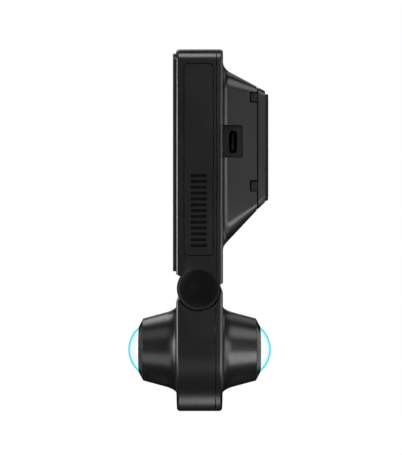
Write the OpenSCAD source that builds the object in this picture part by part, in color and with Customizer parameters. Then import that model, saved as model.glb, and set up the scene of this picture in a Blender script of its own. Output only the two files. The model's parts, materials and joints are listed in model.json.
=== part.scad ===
// Dash cam with a tilting two-sided lens module on a pull-off adhesive bracket.
// Millimetres. Origin: centre of the adhesive pad's outer face. +X points out of the pad to the
// windscreen, +Z up, and the side with the charging port is -Y.

/* [Bracket] */
// Thickness of the adhesive foam pad
pad_t = 1.25; // [0.8:0.05:1.6]
// Width of the pad, side to side
pad_w = 32; // [24:0.5:33]
// Height of the pad
pad_h = 41.6; // [32:0.1:41.6]
// Thickness of the bracket plate
plate_t = 3.1; // [2.6:0.05:3.5]
// Thickness of each locating tab, side to side
tab_t = 2; // [1.4:0.1:2.4]
// Length of the tabs behind the plate
tab_l = 2.4; // [2:0.1:3.4]
// Extra room round a tab in its pocket, towards the wedge's middle and behind it
tab_room = 0.4; // [0.1:0.05:0.5]
// Play between the bracket and the camera, all round
seat_gap = 0.2; // [0.2:0.05:0.4]
// Radius of the holding magnets
magnet_r = 5; // [4:0.25:5.5]
// Thickness of the holding magnets
magnet_t = 1.45; // [1:0.05:1.5]

/* [Body] */
// Width of the body and of the lens module
body_w = 49; // [48:0.5:54]
// Depth of the body, cabin face to road face
body_d = 18.1; // [17.6:0.1:20]
// Height of the body's top above the middle of the pad
body_top = 37.45; // [36:0.25:42]
// Drop from the body's top to the hinge axis
hinge_drop = 92.25; // [90:0.25:98]
// Corner radius of the body seen from the cabin
corner_r = 4.2; // [3.4:0.1:5]
// Rounding of the long edges
edge_r = 1.2; // [0.8:0.1:1.4]
// Thickness of the side walls
side_wall = 2.2; // [2:0.1:2.5]
// Thickness of the other walls
wall = 1.8; // [1.5:0.1:2]
// Depth of the back cover, from its seam to the road face
cover_d = 2.47; // [2.3:0.05:2.9]
// Width of the seam between two shells
seam_gap = 0.2; // [0.1:0.05:0.3]
// Thickness of the display glass
glass_t = 1.2; // [0.8:0.02:1.24]
// Border of the body round the display glass
glass_border = 1.1; // [0.9:0.1:1.6]

/* [Wedge] */
// Depth of the wedge behind the body
wedge_d = 13.2; // [12.6:0.05:15]
// Half width of the wedge at the bracket
wedge_half = 18.5; // [18.2:0.1:19.5]
// Top of the wedge's end above the middle of the pad
wedge_top = 23.55; // [23.2:0.05:25]
// Bottom of the wedge's end below the middle of the pad
wedge_low = 24.8; // [24.2:0.1:26]
// Slope of the wedge's top
top_slope = 29.6; // [26:0.2:31]
// Slope of the wedge's underside
low_slope = 47.1; // [42:0.1:47.5]
// Slope of the wedge's sides
side_slope = 8.5; // [6:0.25:9]
// Fillet at the foot of the top slope and the bottom slope
foot_r = 5.4; // [3:0.1:6]
// Fillet at the foot of the side slopes
side_foot_r = 2.4; // [1.5:0.1:2.6]
// Corner radius of the wedge at the bracket
end_corner_r = 3; // [2:0.25:4]
// Corner radius of the wedge at the body
base_corner_r = 9; // [6:0.5:10]

/* [Side panel] */
// Width of the inlaid side panel
panel_w = 11.37; // [11:0.05:12]
// Distance from the body's top to the panel
panel_top_gap = 5.9; // [5:0.1:8]
// Distance from the panel to the hinge axis
panel_low_gap = 12.55; // [12:0.1:14]
// Thickness of the panel
panel_t = 1.1; // [0.9:0.05:1.2]
// Corner radius of the panel
panel_r = 1.7; // [1:0.1:2.4]
// Gap round the panel in its recess
panel_play = 0.14; // [0.1:0.02:0.2]
// Number of vent slots
slot_n = 13; // [8:1:14]
// Distance from slot to slot
slot_pitch = 2.24; // [2:0.02:2.4]
// Length of a vent slot
slot_l = 6.4; // [5:0.1:7]
// Width of a vent slot
slot_w = 1.27; // [1:0.01:1.4]

/* [Charging port] */
// Length of the port block up and down
port_h = 12.45; // [12:0.05:13.5]
// Depth of the port block, front to back
port_d = 10; // [9.8:0.1:10.6]
// Height of the port block's middle above the middle of the pad
port_z = 1.92; // [1:0.1:3]
// Width of the port's metal shell, the standard 8.94 mm
usb_w = 8.94; // [8.8:0.01:9]
// Height of the port's metal shell, the standard 3.16 mm
usb_h = 3.16; // [3.1:0.01:3.2]
// Wall of the port's metal shell
usb_wall = 0.3; // [0.25:0.01:0.35]
// Depth of the port's mouth in front of the shell
mouth_d = 0.6; // [0.4:0.05:0.9]
// Corner radius of the port's mouth
mouth_r = 0.9; // [0.5:0.1:1.5]

/* [Hinge] */
// Radius of the hinge barrel
ear_r = 8.34; // [8:0.02:8.5]
// Length of each outer hinge barrel
ear_l = 7; // [6.6:0.1:7.6]
// Gap round the hinge barrels
barrel_gap = 0.27; // [0.15:0.01:0.3]
// Extra gap round the hinge barrels near their outer ends
barrel_relief = 0.2; // [0.1:0.05:0.3]
// Offset of the hinge axis towards the cabin
hinge_shift = 0.4; // [0.2:0.05:0.6]
// Radius of the hinge pins
pin_r = 3; // [2.6:0.1:3.2]
// Running clearance of the pins in their bushes
pin_play = 0.05; // [0.03:0.01:0.08]
// Wall of the hinge bushes
bush_wall = 1.15; // [0.9:0.05:1.3]
// Radius of the trim disc in each outer barrel
disc_r = 6.26; // [5.8:0.02:6.4]
// Thickness of the trim disc
disc_t = 1; // [0.8:0.1:1.2]
// Depth of the bevel round the trim disc
bevel_d = 0.3; // [0.2:0.05:0.8]
// Width of the bevel round the trim disc
bevel_w = 0.9; // [0.6:0.05:1]

/* [Lens module] */
// Depth of the lens module between its two faces
module_d = 18; // [17.6:0.1:19]
// Drop from the hinge axis to the lens axis
lens_drop = 25.35; // [25:0.05:28]
// Length of each lens turret
turret_l = 13.4; // [12.8:0.1:15]
// Radius of a turret at its end
turret_r = 12.46; // [12.1:0.02:13]
// Taper of a turret
turret_slope = 15; // [13:0.25:17]
// Fillet at a turret's foot
turret_foot_r = 2.55; // [1.8:0.05:2.8]
// Radius of the long flare between the foot and the straight taper
turret_flare_r = 11.4; // [8:0.2:13]
// Length of the bevelled ring on a turret
ring_l = 1.85; // [1.7:0.05:2]
// Radius of the lens dome at the ring's front edge
dome_r = 8.96; // [8.8:0.02:9.1]
// Height of the lens dome in front of the ring
dome_h = 4.25; // [3.6:0.05:4.6]
// Thickness of the lens dome
dome_t = 1.2; // [0.9:0.05:1.4]

/* [Inside] */
// Thickness of the main circuit board
board_t = 1; // [0.8:0.1:1.2]
// Distance between the case screws across the body
screw_pitch_y = 22; // [21:0.5:23]
// Height of the upper case screws above the middle of the pad
screw_up = 17; // [16.5:0.25:17.5]
// Depth of the lower case screws below the middle of the pad
screw_down = 16; // [15.5:0.25:16.5]
// Shank radius of the small screws
screw_r = 0.98; // [0.8:0.02:1]
// Number of heat sink fins
fin_n = 7; // [5:1:7]
// Travel of the power button
button_travel = 0.4; // [0.3:0.05:0.5]
// Width of the memory card
card_w = 11; // [10.8:0.1:11.2]
// Length of the memory card
card_l = 15; // [14.8:0.1:15.2]
// Thickness of the memory card
card_t = 0.8; // [0.7:0.05:0.9]

/* [Hidden] */
$fn = 64;
far = 200;
slip = 0.1;
touch = 0.05;

// Stations along X, from the pad to the display
plate_x = -pad_t - plate_t;
wedge_x = plate_x - seat_gap;
back_x = wedge_x - wedge_d;
front_x = back_x - body_d;
seam_x = back_x - cover_d - seam_gap;
cover_x = seam_x + seam_gap;
mid_x = (front_x + back_x) / 2;
body_half = body_w / 2;
inner_half = body_half - side_wall;
panel_x = mid_x - 0.32;

// Stations along Z, from the top to the lens axis
hinge_z = body_top - hinge_drop;
hinge_x = mid_x - hinge_shift;
lens_z = hinge_z - lens_drop;
inner_top = body_top - wall;
saddle_r = ear_r + seat_gap;
inner_low = hinge_z + saddle_r + wall;
ear_in = body_half - ear_l;
knuckle_half = ear_in - seam_gap;

// Lips of the two bodies beside the hinge barrels, from the hinge axis
body_lip_front = 4.7;
body_lip_back = 1.1;
module_lip_front = 4.3;
module_lip_back = 0;
lip_chamfer = 1.45;
lip_rise = 0.75;
back_lip_rise = 1;
shoulder_w = 0.2;
relief_depth = 2;
barrel_lip_w = 1;
barrel_lip_h = 0.3;

// Display glass, its window in the housing and the panel in that window
glass_half = body_half - glass_border;
glass_high = body_top - glass_border - 0.5;
glass_low = hinge_z + body_lip_front + 1.75;
window_side = 2.4;
window_top = 3.8;
window_low = 5.4;
display_play = 0.2;

// Layers behind the display, along X
inner_front = front_x + wall;
frame_t = 1.2;
frame_back = inner_front + frame_t;
board_gap = 2.4;
board_x = frame_back + board_gap;
parts_x = board_x + board_t;
board_half = inner_half - 1.3;
post_r = 1.9;
pilot_r = screw_r + 0.02;
head_r = 1.9;
head_t = 1.4;

// Things in and behind the wedge
plate_half = wedge_half - 0.3;
end_wall = 1.6;
wedge_in_x = wedge_x - end_wall;
well_r = head_r + 0.4;
well_wall = 1.1;
port_x = back_x - cover_d + 0.02 + port_d / 2;
port_out = wedge_half + 0.4;
port_low = port_z - port_h / 2;
port_high = port_z + port_h / 2;
port_corner = 0.65;
port_depth = 8.3;
shell_l = 7.3;
shell_in = mouth_d;
usb_x = port_x + 1.3;
usb_z = port_z - 0.17;
usb_play = 0.04;
power_board_t = 1;
power_board_x = usb_x - usb_h / 2 - touch - power_board_t;
cap_r = 4;
cap_l = 16;
case_screw_l = 8.5;
power_screw_l = 6;
gps_w = 12;
gps_t = 4;
magnet_z = 13;
power_posts = [[-10, -7.2], [10, 7.2]];
power_board_half = 13.5;

// Lens turret stations, outward from the middle of the module
module_half = module_d / 2;
module_x = mid_x;
module_seam = module_half - 2.75;
turret_end = module_half + turret_l;
ring_front = turret_end + ring_l;
dome_sphere_r = (dome_r * dome_r + dome_h * dome_h) / (2 * dome_h);
dome_centre = ring_front + dome_h - dome_sphere_r;
dome_edge_r = dome_r + 0.94;
bore_r = dome_edge_r + 0.8;
ring_spigot = 1.1;
flange_front = turret_end - ring_spigot - slip;
flange_t = 1.2;
flange_back = flange_front - flange_t;
seal_t = 0.5;
shoulder_t = 1;
barrel_r = 9;
barrel_bore = 7;
lens_seat_r = 8.2;
lens_seat_d = 4;
sensor_t = 1.1;
sensor_w = 7.6;
sensor_board_t = 1;
boss_r = 2.2;
hollow_top = hinge_z - ear_r - wall;
sensor_board_top = hollow_top - 1.5;
sensor_board_r = body_half - wall - 1.5;
boss_ring = sensor_board_r - 3.2;
boss_up = sensor_board_top - 2 - lens_z;
boss_side = sqrt(boss_ring * boss_ring - boss_up * boss_up);
boss_low = boss_ring * sin(45);
board_screw_l = 5;
rear_lens_t = 2.4;
rear_lens_x = 5;
rear_lens_step = 6;

// Side controls on the far wall
button_z = 20;
button_w = 4;
button_h = 9;
button_proud = 0.45;
button_flange = 0.6;
card_z = 2;
card_x = parts_x + 0.25 + card_t / 2;
card_end = body_half - 0.9;
panel_low = hinge_z + panel_low_gap;
panel_high = body_top - panel_top_gap;
recess_d = panel_t + slip;
slot_start = 3.92;
sink_low = inner_low + 2.5;
sink_h = 21;
sink_half = 15;
chip_z = sink_low + sink_h / 2;
chip_t = 1.4;
chip_w = 14;
memory_w = 5.2;
memory_h = 10;
wifi_w = 13.8;
wifi_h = 12;
wifi_t = 1.8;
speaker_w = 18;
speaker_h = 11;
speaker_t = 3.8;
speaker_cone_r = 3.5;
mic_w = 3.5;
mic_h = 2.7;
mic_y = board_half - 6.25;
pad_gap_t = 0.5;
sink_x = parts_x + chip_t + pad_gap_t;
flex_w = 3.2;
flex_t = 0.3;
flex_y = body_half - 4.2;
washer_t = 0.8;
pin_in = knuckle_half - 4.9;
flex_in = pin_in - 3.5;
bush_r = pin_r + pin_play + bush_wall;
bush_in = pin_in - 0.2;
passage_r = flex_w / 2 + 0.3;

// Half width, top and bottom of the wedge at a distance d behind the body's road face
function foot_reach(slope, r) = r / tan((90 + slope) / 2);
function foot_rise(d, slope, r) =
    let (reach = foot_reach(slope, r), near = min(max(d, 0), r))
    d < reach * cos(slope)
        ? reach - sqrt(r * r - (r - near) * (r - near)) + max(d, 0) * tan(slope)
        : 0;
function slope_at(end, d, slope) = end + (wedge_d - d) * tan(slope);
function wedge_side(d) =
    slope_at(wedge_half, d, side_slope) + foot_rise(d, side_slope, side_foot_r);
function wedge_up(d) = slope_at(wedge_top, d, top_slope) + foot_rise(d, top_slope, foot_r);
function wedge_down(d) = -slope_at(wedge_low, d, low_slope) - foot_rise(d, low_slope, foot_r);
function wedge_corner(d) =
    end_corner_r + (base_corner_r - end_corner_r) * (wedge_d - max(d, 0)) / wedge_d;

// One closed outline in the YZ plane: a rectangle with round corners, as points at station x
corner_steps = 8;
function ring_points(x, half, low, high, r) = [
    for (q = [0:3], i = [0:corner_steps])
        let (a = 90 * (q + i / corner_steps),
             cy = (q == 0 || q == 3) ? half - r : r - half,
             cz = q < 2 ? high - r : low + r)
        [x, cy + r * cos(a), cz + r * sin(a)]
];

// A solid lofted through outlines that all have the same number of points
module loft(rings) {
    n = len(rings[0]);
    m = len(rings);
    sides = [
        for (k = [0:m - 2], i = [0:n - 1], t = [0, 1])
            let (a = k * n + i, b = k * n + (i + 1) % n, c = a + n, d = b + n)
            t == 0 ? [a, d, b] : [a, c, d]
    ];
    first = [for (i = [0:n - 1]) i];
    last = [for (i = [0:n - 1]) m * n - 1 - i];
    polyhedron([for (ring = rings, p = ring) p], concat([first], sides, [last]));
}

// Box given by its lowest and highest corners
module span(low, high) {
    translate(low) cube(high - low);
}

// Cylinder along X from x0 to x1 about the point (y, z)
module rod_x(x0, x1, y, z, r) {
    translate([x0, y, z]) rotate([0, 90, 0]) cylinder(h = x1 - x0, r = r);
}

// Cylinder along Y from y0 to y1 about the point (x, z)
module rod_y(y0, y1, x, z, r) {
    translate([x, y1, z]) rotate([90, 0, 0]) cylinder(h = y1 - y0, r = r);
}

// A profile drawn in X and Z, extruded from y0 to y1
module across(y0, y1) {
    translate([0, y1, 0]) rotate([90, 0, 0]) linear_extrude(y1 - y0) children();
}

// A profile drawn as radius and distance, revolved about the X axis through (y, z)
module turned(x, y, z, mirrored = false) {
    translate([x, y, z])
        mirror([mirrored ? 1 : 0, 0, 0])
        rotate([0, 90, 0])
        rotate_extrude()
        children();
}

// A plate of thickness x0 to x1 with round corners, drawn in the YZ plane
module round_plate(x0, x1, half, low, high, r) {
    translate([x0, 0, 0]) rotate([90, 0, 90]) linear_extrude(x1 - x0) {
        translate([-half, low + r]) square([2 * half, high - low - 2 * r]);
        translate([r - half, low]) square([2 * (half - r), high - low]);
        for (y = [r - half, half - r], z = [low + r, high - r])
            translate([y, z]) circle(r);
    }
}

// A rectangle with round corners in the XZ plane, extruded from y0 to y1
module round_block(y0, y1, x, z, w, h, r) {
    across(y0, y1) {
        translate([x - w / 2, z + r - h / 2]) square([w, h - 2 * r]);
        translate([x + r - w / 2, z - h / 2]) square([w - 2 * r, h]);
        for (side = [r - w / 2, w / 2 - r], up = [r - h / 2, h / 2 - r])
            translate([x + side, z + up]) circle(r);
    }
}

// A rectangle with round ends in the XZ plane, extruded from y0 to y1; it is long along Z
module pill_z(y0, y1, x, z, w, h) {
    span([x - w / 2, y0, z - (h - w) / 2], [x + w / 2, y1, z + (h - w) / 2]);
    for (side = [-1, 1])
        rod_y(y0, y1, x, z + side * (h - w) / 2, w / 2);
}

// The same, long along X
module pill_x(y0, y1, x, z, l, w) {
    span([x - (l - w) / 2, y0, z - w / 2], [x + (l - w) / 2, y1, z + w / 2]);
    for (side = [-1, 1])
        rod_y(y0, y1, x + side * (l - w) / 2, z, w / 2);
}

// Half section of a block from x0 to x1 that reaches out to reach, with its outer edges rounded
module edge_section(reach, x0, x1) {
    square_d = x1 - x0;
    translate([0, x0]) square([reach - edge_r, square_d]);
    translate([0, x0 + edge_r]) square([reach, square_d - 2 * edge_r]);
    for (x = [x0 + edge_r, x1 - edge_r])
        translate([reach - edge_r, x]) circle(edge_r);
}

// Full plan of a block, the half section mirrored about the middle
module plan(half, x0, x1) {
    translate([x0, edge_r - half]) square([x1 - x0, 2 * (half - edge_r)]);
    translate([x0 + edge_r, -half]) square([x1 - x0 - 2 * edge_r, 2 * half]);
    for (x = [x0 + edge_r, x1 - edge_r], y = [edge_r - half, half - edge_r])
        translate([x, y]) circle(edge_r);
}

module at_case_screws() {
    for (y = [-screw_pitch_y / 2, screw_pitch_y / 2], z = [-screw_down, screw_up])
        translate([0, y, z]) children();
}

// Outer form of the upper body without its wedge
module body_form() {
    intersection() {
        translate([0, 0, hinge_z])
            linear_extrude(body_top - corner_r - hinge_z)
            plan(body_half, front_x, back_x);
        across(-body_half - 1, body_half + 1)
            polygon([
                [front_x - lip_chamfer, hinge_z + body_lip_front + 2 * lip_rise],
                [front_x + lip_chamfer, hinge_z + body_lip_front],
                [hinge_x, hinge_z + body_lip_front],
                [hinge_x, hinge_z + body_lip_back],
                [back_x - lip_chamfer, hinge_z + body_lip_back],
                [back_x, hinge_z + body_lip_back + back_lip_rise],
                [back_x + 1, hinge_z + body_lip_back + back_lip_rise],
                [back_x + 1, body_top],
                [front_x - lip_chamfer, body_top]
            ]);
    }
    across(corner_r - body_half, body_half - corner_r)
        translate([0, body_top - corner_r])
        rotate(90)
        mirror([0, 1])
        edge_section(corner_r, front_x, back_x);
    for (y = [corner_r - body_half, body_half - corner_r])
        turned(0, y, body_top - corner_r) edge_section(corner_r, front_x, back_x);
}

// Wedge behind the body, with its concave foot
module wedge_form() {
    foot = [-1, 0, 0.25, 0.75, 1.5, 2.6, wedge_d];
    loft([for (d = foot)
        ring_points(back_x + d, wedge_side(d), wedge_down(d), wedge_up(d), wedge_corner(d))]);
}

module wedge_hollow() {
    loft([for (d = [-cover_d - 1, wedge_d - end_wall])
        ring_points(back_x + d,
            slope_at(wedge_half, d, side_slope) - wall,
            wall / cos(low_slope) - slope_at(wedge_low, d, low_slope),
            slope_at(wedge_top, d, top_slope) - wall / cos(top_slope),
            2)]);
}

// Space that the central knuckle turns in
module saddle_cut() {
    rod_y(-ear_in, ear_in, hinge_x, hinge_z, saddle_r);
}

module ears() {
    for (side = [-1, 1])
        rod_y(min(side * ear_in, side * body_half), max(side * ear_in, side * body_half),
            hinge_x, hinge_z, ear_r);
}

// Lip at the inner end of each outer barrel; it shuts the gap between barrel and back cover
module barrel_lips(play) {
    for (side = [-1, 1])
        mirror([0, side < 0 ? 1 : 0, 0])
            rod_y(ear_in, ear_in + barrel_lip_w + play, hinge_x, hinge_z,
                ear_r + barrel_lip_h + play);
}

// Pin bore, disc seat and bevel of one outer barrel
module ear_bore(side) {
    seat = body_half - bevel_d - disc_t;
    mirror([0, side < 0 ? 1 : 0, 0]) {
        rod_y(ear_in - 1, body_half, hinge_x, hinge_z, pin_r + 0.02);
        rod_y(seat, body_half + 1, hinge_x, hinge_z, disc_r + slip);
        translate([hinge_x, body_half - bevel_d, hinge_z])
            rotate([-90, 0, 0])
            cylinder(h = bevel_d, r1 = disc_r + slip, r2 = disc_r + slip + bevel_w);
    }
}

// Recess for a side panel and the vent window behind its slots
module panel_seat(side) {
    mirror([0, side < 0 ? 1 : 0, 0]) {
        panel_prism(body_half - recess_d, body_half + 1, panel_play);
        vent_window(inner_half - 1, body_half - recess_d + touch, 0);
    }
}

// Outline of a side panel, grown by play
module panel_prism(y0, y1, play) {
    round_block(y0, y1, panel_x, (panel_low + panel_high) / 2, panel_w + 2 * play,
        panel_high - panel_low + 2 * play, panel_r + play);
}

// Window behind the vent slots, or what fills it with play all round
module vent_window(y0, y1, play) {
    half = slot_l / 2 + 0.4 - play;
    span([panel_x - half, y0, slot_z(0) - slot_w + play],
        [panel_x + half, y1, slot_z(slot_n - 1) + slot_w - play]);
}

// Woven screens that keep dust out of the vent slots, stuck behind the side panels
module dust_screens() {
    screen_t = 0.3;
    back = body_half - recess_d + touch;
    color([0.05, 0.05, 0.05])
        for (side = [-1, 1])
            mirror([0, side < 0 ? 1 : 0, 0]) vent_window(back - screen_t, back, slip);
}

function slot_z(i) = panel_low + slot_start + i * slot_pitch;

module front_housing() {
    color([0.13, 0.13, 0.14]) difference() {
        union() {
            intersection() {
                body_form();
                span([front_x - 1, -far, hinge_z - far], [seam_x, far, far]);
            }
            ears();
            intersection() {
                body_form();
                barrel_lips(0);
                span([seam_x - 1, -far, hinge_z], [far, far, far]);
            }
        }
        round_plate(inner_front, seam_x + 1, inner_half, inner_low, inner_top, 2);
        round_plate(front_x - 1, inner_front + 1, glass_half - window_side,
            glass_low + window_low, glass_high - window_top, 1);
        saddle_cut();
        for (side = [-1, 1]) {
            ear_bore(side);
            panel_seat(side);
        }
        span([hinge_x - passage_r, -flex_y - 0.6, hinge_z],
            [hinge_x + passage_r, -flex_y + 0.6, inner_low + 1]);
        pill_z(inner_half - 1, body_half, panel_x, button_z, button_w + 2 * slip,
            button_h + 2 * slip);
        card_slot(inner_half - 1, body_half);
    }
}

// Opening for the memory card
module card_slot(y0, y1) {
    span([card_x - card_t / 2 - 0.3, y0, card_z - card_w / 2 - 0.3],
        [card_x + card_t / 2 + 0.3, y1, card_z + card_w / 2 + 0.3]);
}

module back_cover() {
    lip = 0.9;
    color([0.15, 0.15, 0.16]) difference() {
        union() {
            intersection() {
                body_form();
                span([cover_x, -far, hinge_z - far], [far, far, far]);
            }
            difference() {
                round_plate(seam_x - 1.2, cover_x + 1, inner_half - slip, inner_low + slip,
                    inner_top - slip, 2 - slip);
                round_plate(seam_x - 2, cover_x + 2, inner_half - slip - lip,
                    inner_low + slip + lip, inner_top - slip - lip, 1);
            }
            difference() {
                wedge_form();
                wedge_hollow();
            }
            intersection() {
                wedge_form();
                union() {
                    at_case_screws() rod_x(cover_x, wedge_x, 0, 0, well_r + well_wall);
                    for (z = [-magnet_z, magnet_z])
                        rod_x(wedge_in_x - 1.4, wedge_in_x + 1, 0, z, magnet_r + 1.2);
                    for (p = power_posts)
                        rod_x(power_board_x + power_board_t, wedge_in_x + 1, p[0], p[1], post_r);
                    for (side = [-1, 1], z = tab_places())
                        tab_pocket(side, z, 1.1);
                }
            }
        }
        intersection() {
            round_plate(cover_x - 1, back_x + 1, inner_half, -far, inner_top, 2);
            wedge_hollow();
        }
        at_case_screws() {
            rod_x(back_x - 0.7, wedge_x + 1, 0, 0, well_r);
            rod_x(cover_x - 1, back_x, 0, 0, screw_r + 0.12);
        }
        for (z = [-magnet_z, magnet_z])
            rod_x(wedge_in_x, wedge_x + 1, 0, z, magnet_r + slip);
        for (p = power_posts)
            rod_x(power_board_x, power_board_x + power_board_t + power_screw_l, p[0], p[1],
                pilot_r);
        for (side = [-1, 1], z = tab_places())
            tab_pocket(side, z, 0);
        port_prism(-far, -port_out + port_depth + 2 * slip, slip);
        span([seam_x - 2, -far, port_low - slip],
            [port_x, -port_out + port_depth + 2 * slip, port_high + slip]);
        saddle_cut();
        rod_y(-far, far, hinge_x, hinge_z, ear_r + slip);
        barrel_lips(slip);
    }
}

// Middle height and total height of the upper and lower tabs
function tab_places() = [[wedge_top - 4.3, 3.45], [-wedge_low + 9.35, 3.8]];

// Pocket in the wedge's side for a tab, or the pocket's liner when grown by skin
module tab_pocket(side, place, skin) {
    inside = plate_half - tab_t - seat_gap - skin;
    half = place[1] / 2 + seat_gap + skin;
    low = place[0] - half - (place[0] > 0 ? tab_room : 0);
    high = place[0] + half + (place[0] > 0 ? 0 : tab_room);
    span([wedge_x - tab_l - tab_room - skin, side > 0 ? inside : -far, low],
        [skin > 0 ? wedge_in_x + 0.5 : wedge_x + 1, side > 0 ? far : -inside, high]);
}

module mount_plate() {
    rim = 0.4;
    stations = [plate_x, plate_x + rim, -pad_t - rim, -pad_t];
    inset = [rim, 0, 0, rim];
    color([0.16, 0.16, 0.17]) difference() {
        union() {
            loft([for (i = [0:3])
                let (past = stations[i] - wedge_x)
                ring_points(stations[i],
                    plate_half - past * tan(side_slope) - inset[i],
                    inset[i] + past * tan(low_slope) - wedge_low,
                    wedge_top - past * tan(top_slope) - inset[i],
                    end_corner_r - inset[i])]);
            for (side = [-1, 1], place = tab_places())
                mirror([0, side < 0 ? 1 : 0, 0])
                    bracket_tab(place);
        }
        for (z = [-magnet_z, magnet_z])
            rod_x(plate_x - 1, plate_x + magnet_t + 2 * touch, 0, z, magnet_r + slip);
    }
}

// A tab with its outer corner rounded
module bracket_tab(place) {
    outer = place[0] > 0 ? 1 : -1;
    round_r = 0.8;
    back = plate_x - tab_l + touch;
    across(plate_half - tab_t, plate_half - 0.5) {
        difference() {
            translate([back, place[0] - place[1] / 2]) square([tab_l + 1, place[1]]);
            translate([back - 1, place[0] + outer * place[1] / 2 - (outer > 0 ? round_r : 1)])
                square([1 + round_r, 1 + round_r]);
        }
        translate([back + round_r, place[0] + outer * (place[1] / 2 - round_r)]) circle(round_r);
    }
}

module adhesive_pad() {
    color([0.09, 0.09, 0.09])
        round_plate(-pad_t, 0, pad_w / 2, -pad_h / 2, pad_h / 2, 3);
}

module bracket_magnets() {
    color([0.6, 0.6, 0.62])
        for (z = [-magnet_z, magnet_z])
            rod_x(plate_x + touch, plate_x + touch + magnet_t, 0, z, magnet_r);
}

module camera_magnets() {
    color([0.6, 0.6, 0.62])
        for (z = [-magnet_z, magnet_z])
            rod_x(wedge_in_x + touch, wedge_in_x + touch + magnet_t, 0, z, magnet_r);
}

module display_glass() {
    bevel = 0.35;
    color([0.02, 0.02, 0.03]) loft([
        for (s = [[front_x - glass_t, bevel], [front_x - glass_t + bevel, 0], [front_x, 0]])
            ring_points(s[0], glass_half - s[1], glass_low + s[1], glass_high - s[1],
                corner_r - glass_border - s[1])
    ]);
}

module display_panel() {
    color([0.05, 0.06, 0.09])
        round_plate(front_x + touch, inner_front - touch, glass_half - window_side - display_play,
            glass_low + window_low + display_play, glass_high - window_top - display_play,
            1 - display_play);
}

// Frame that backs the display and carries the screw posts of the case
module mid_frame() {
    color([0.3, 0.3, 0.32]) difference() {
        union() {
            round_plate(inner_front, frame_back, inner_half - slip, inner_low + slip,
                inner_top - slip, 1.9);
            at_case_screws() {
                rod_x(frame_back - touch, board_x, 0, 0, post_r + 0.7);
                rod_x(frame_back, cover_x - touch, 0, 0, post_r);
            }
        }
        at_case_screws() rod_x(board_x, cover_x + 1, 0, 0, pilot_r);
        span([inner_front - 1, -8, inner_low + 3], [frame_back + 1, 8, inner_low + 6]);
        span([inner_front - 1, -14, -6], [frame_back + 1, 14, 6]);
    }
}

module main_board() {
    color([0.1, 0.3, 0.16]) difference() {
        span([board_x, -board_half, inner_low + 1], [parts_x, board_half, inner_top - 1]);
        at_case_screws() rod_x(board_x - 1, parts_x + 1, 0, 0, post_r + 0.15);
    }
    color([0.85, 0.82, 0.75])
        span([parts_x, -flex_y - flex_w / 2, sink_low + 2],
            [hinge_x - flex_w / 2 - touch, -flex_y + flex_w / 2, sink_low + 6]);
}

module processor() {
    color([0.12, 0.12, 0.12])
        span([parts_x, -chip_w / 2, chip_z - chip_w / 2],
            [parts_x + chip_t, chip_w / 2, chip_z + chip_w / 2]);
}

module memory_chips() {
    color([0.12, 0.12, 0.12])
        for (y = [-1, 1] * (chip_w / 2 + 4))
            span([parts_x, y - memory_w / 2, chip_z - memory_h / 2],
                [parts_x + 1, y + memory_w / 2, chip_z + memory_h / 2]);
}

module wifi_module() {
    color([0.75, 0.75, 0.77])
        span([parts_x, -inner_half + 2.5, -wifi_h],
            [parts_x + wifi_t, wifi_w + 2.5 - inner_half, 0]);
}

module thermal_pad() {
    color([0.55, 0.6, 0.7])
        span([parts_x + chip_t, -chip_w / 2, chip_z - chip_w / 2],
            [sink_x, chip_w / 2, chip_z + chip_w / 2]);
}

module heat_sink() {
    base_t = 1.2;
    fin_t = 0.9;
    fin_pitch = (sink_h - fin_t) / (fin_n - 1);
    color([0.72, 0.73, 0.75]) {
        span([sink_x, -sink_half, sink_low], [sink_x + base_t, sink_half, sink_low + sink_h]);
        for (i = [0:fin_n - 1])
            span([sink_x + base_t, -sink_half, sink_low + i * fin_pitch],
                [cover_x - 2.3, sink_half, sink_low + i * fin_pitch + fin_t]);
    }
}

module card_socket() {
    low_y = card_end - card_l - 0.7;
    color([0.78, 0.78, 0.8]) difference() {
        span([parts_x, low_y, card_z - card_w / 2 - 1.2],
            [card_x + card_t / 2 + 0.55, inner_half - 0.8, card_z + card_w / 2 + 1.2]);
        span([card_x - card_t / 2 - slip, low_y + 0.5, card_z - card_w / 2 - slip],
            [card_x + card_t / 2 + slip, inner_half, card_z + card_w / 2 + slip]);
    }
}

module memory_card() {
    step = 1.2;
    color([0.1, 0.1, 0.12])
        translate([card_x - card_t / 2, 0, 0]) rotate([90, 0, 90]) linear_extrude(card_t)
        polygon([
            [card_end - card_l, card_z - card_w / 2],
            [card_end, card_z - card_w / 2],
            [card_end, card_z + card_w / 2],
            [card_end - card_l + 6.5, card_z + card_w / 2],
            [card_end - card_l + 5.5, card_z + card_w / 2 - step],
            [card_end - card_l, card_z + card_w / 2 - step]
        ]);
}

module power_button() {
    inside = inner_half - touch;
    color([0.14, 0.14, 0.15]) {
        pill_z(inside - button_flange, inside, panel_x, button_z, button_w + 1.4,
            button_h + 1.4);
        pill_z(inside, body_half + button_proud, panel_x, button_z, button_w, button_h);
    }
}

module button_switch() {
    face = inner_half - touch - button_flange - button_travel - touch;
    color([0.2, 0.2, 0.22]) {
        span([parts_x, face - 4, button_z - 3], [panel_x + 2, face - 0.4, button_z + 3]);
        rod_y(face - 0.4, face, panel_x, button_z, 1.2);
    }
}

module speaker() {
    low_z = inner_top - 2 - speaker_h;
    front = parts_x + speaker_t;
    color([0.16, 0.16, 0.17]) difference() {
        span([parts_x, -speaker_w, low_z], [front, 0, low_z + speaker_h]);
        rod_x(front - 0.6, front + 1, -speaker_w / 2, low_z + speaker_h / 2, speaker_cone_r);
    }
}

module microphone() {
    color([0.8, 0.7, 0.4]) difference() {
        span([parts_x, mic_y - mic_w / 2, inner_top - 2.8 - mic_h],
            [parts_x + 1, mic_y + mic_w / 2, inner_top - 2.8]);
        rod_x(parts_x + 0.5, parts_x + 2, mic_y, inner_top - 2.8 - mic_h / 2, 0.4);
    }
}

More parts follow.
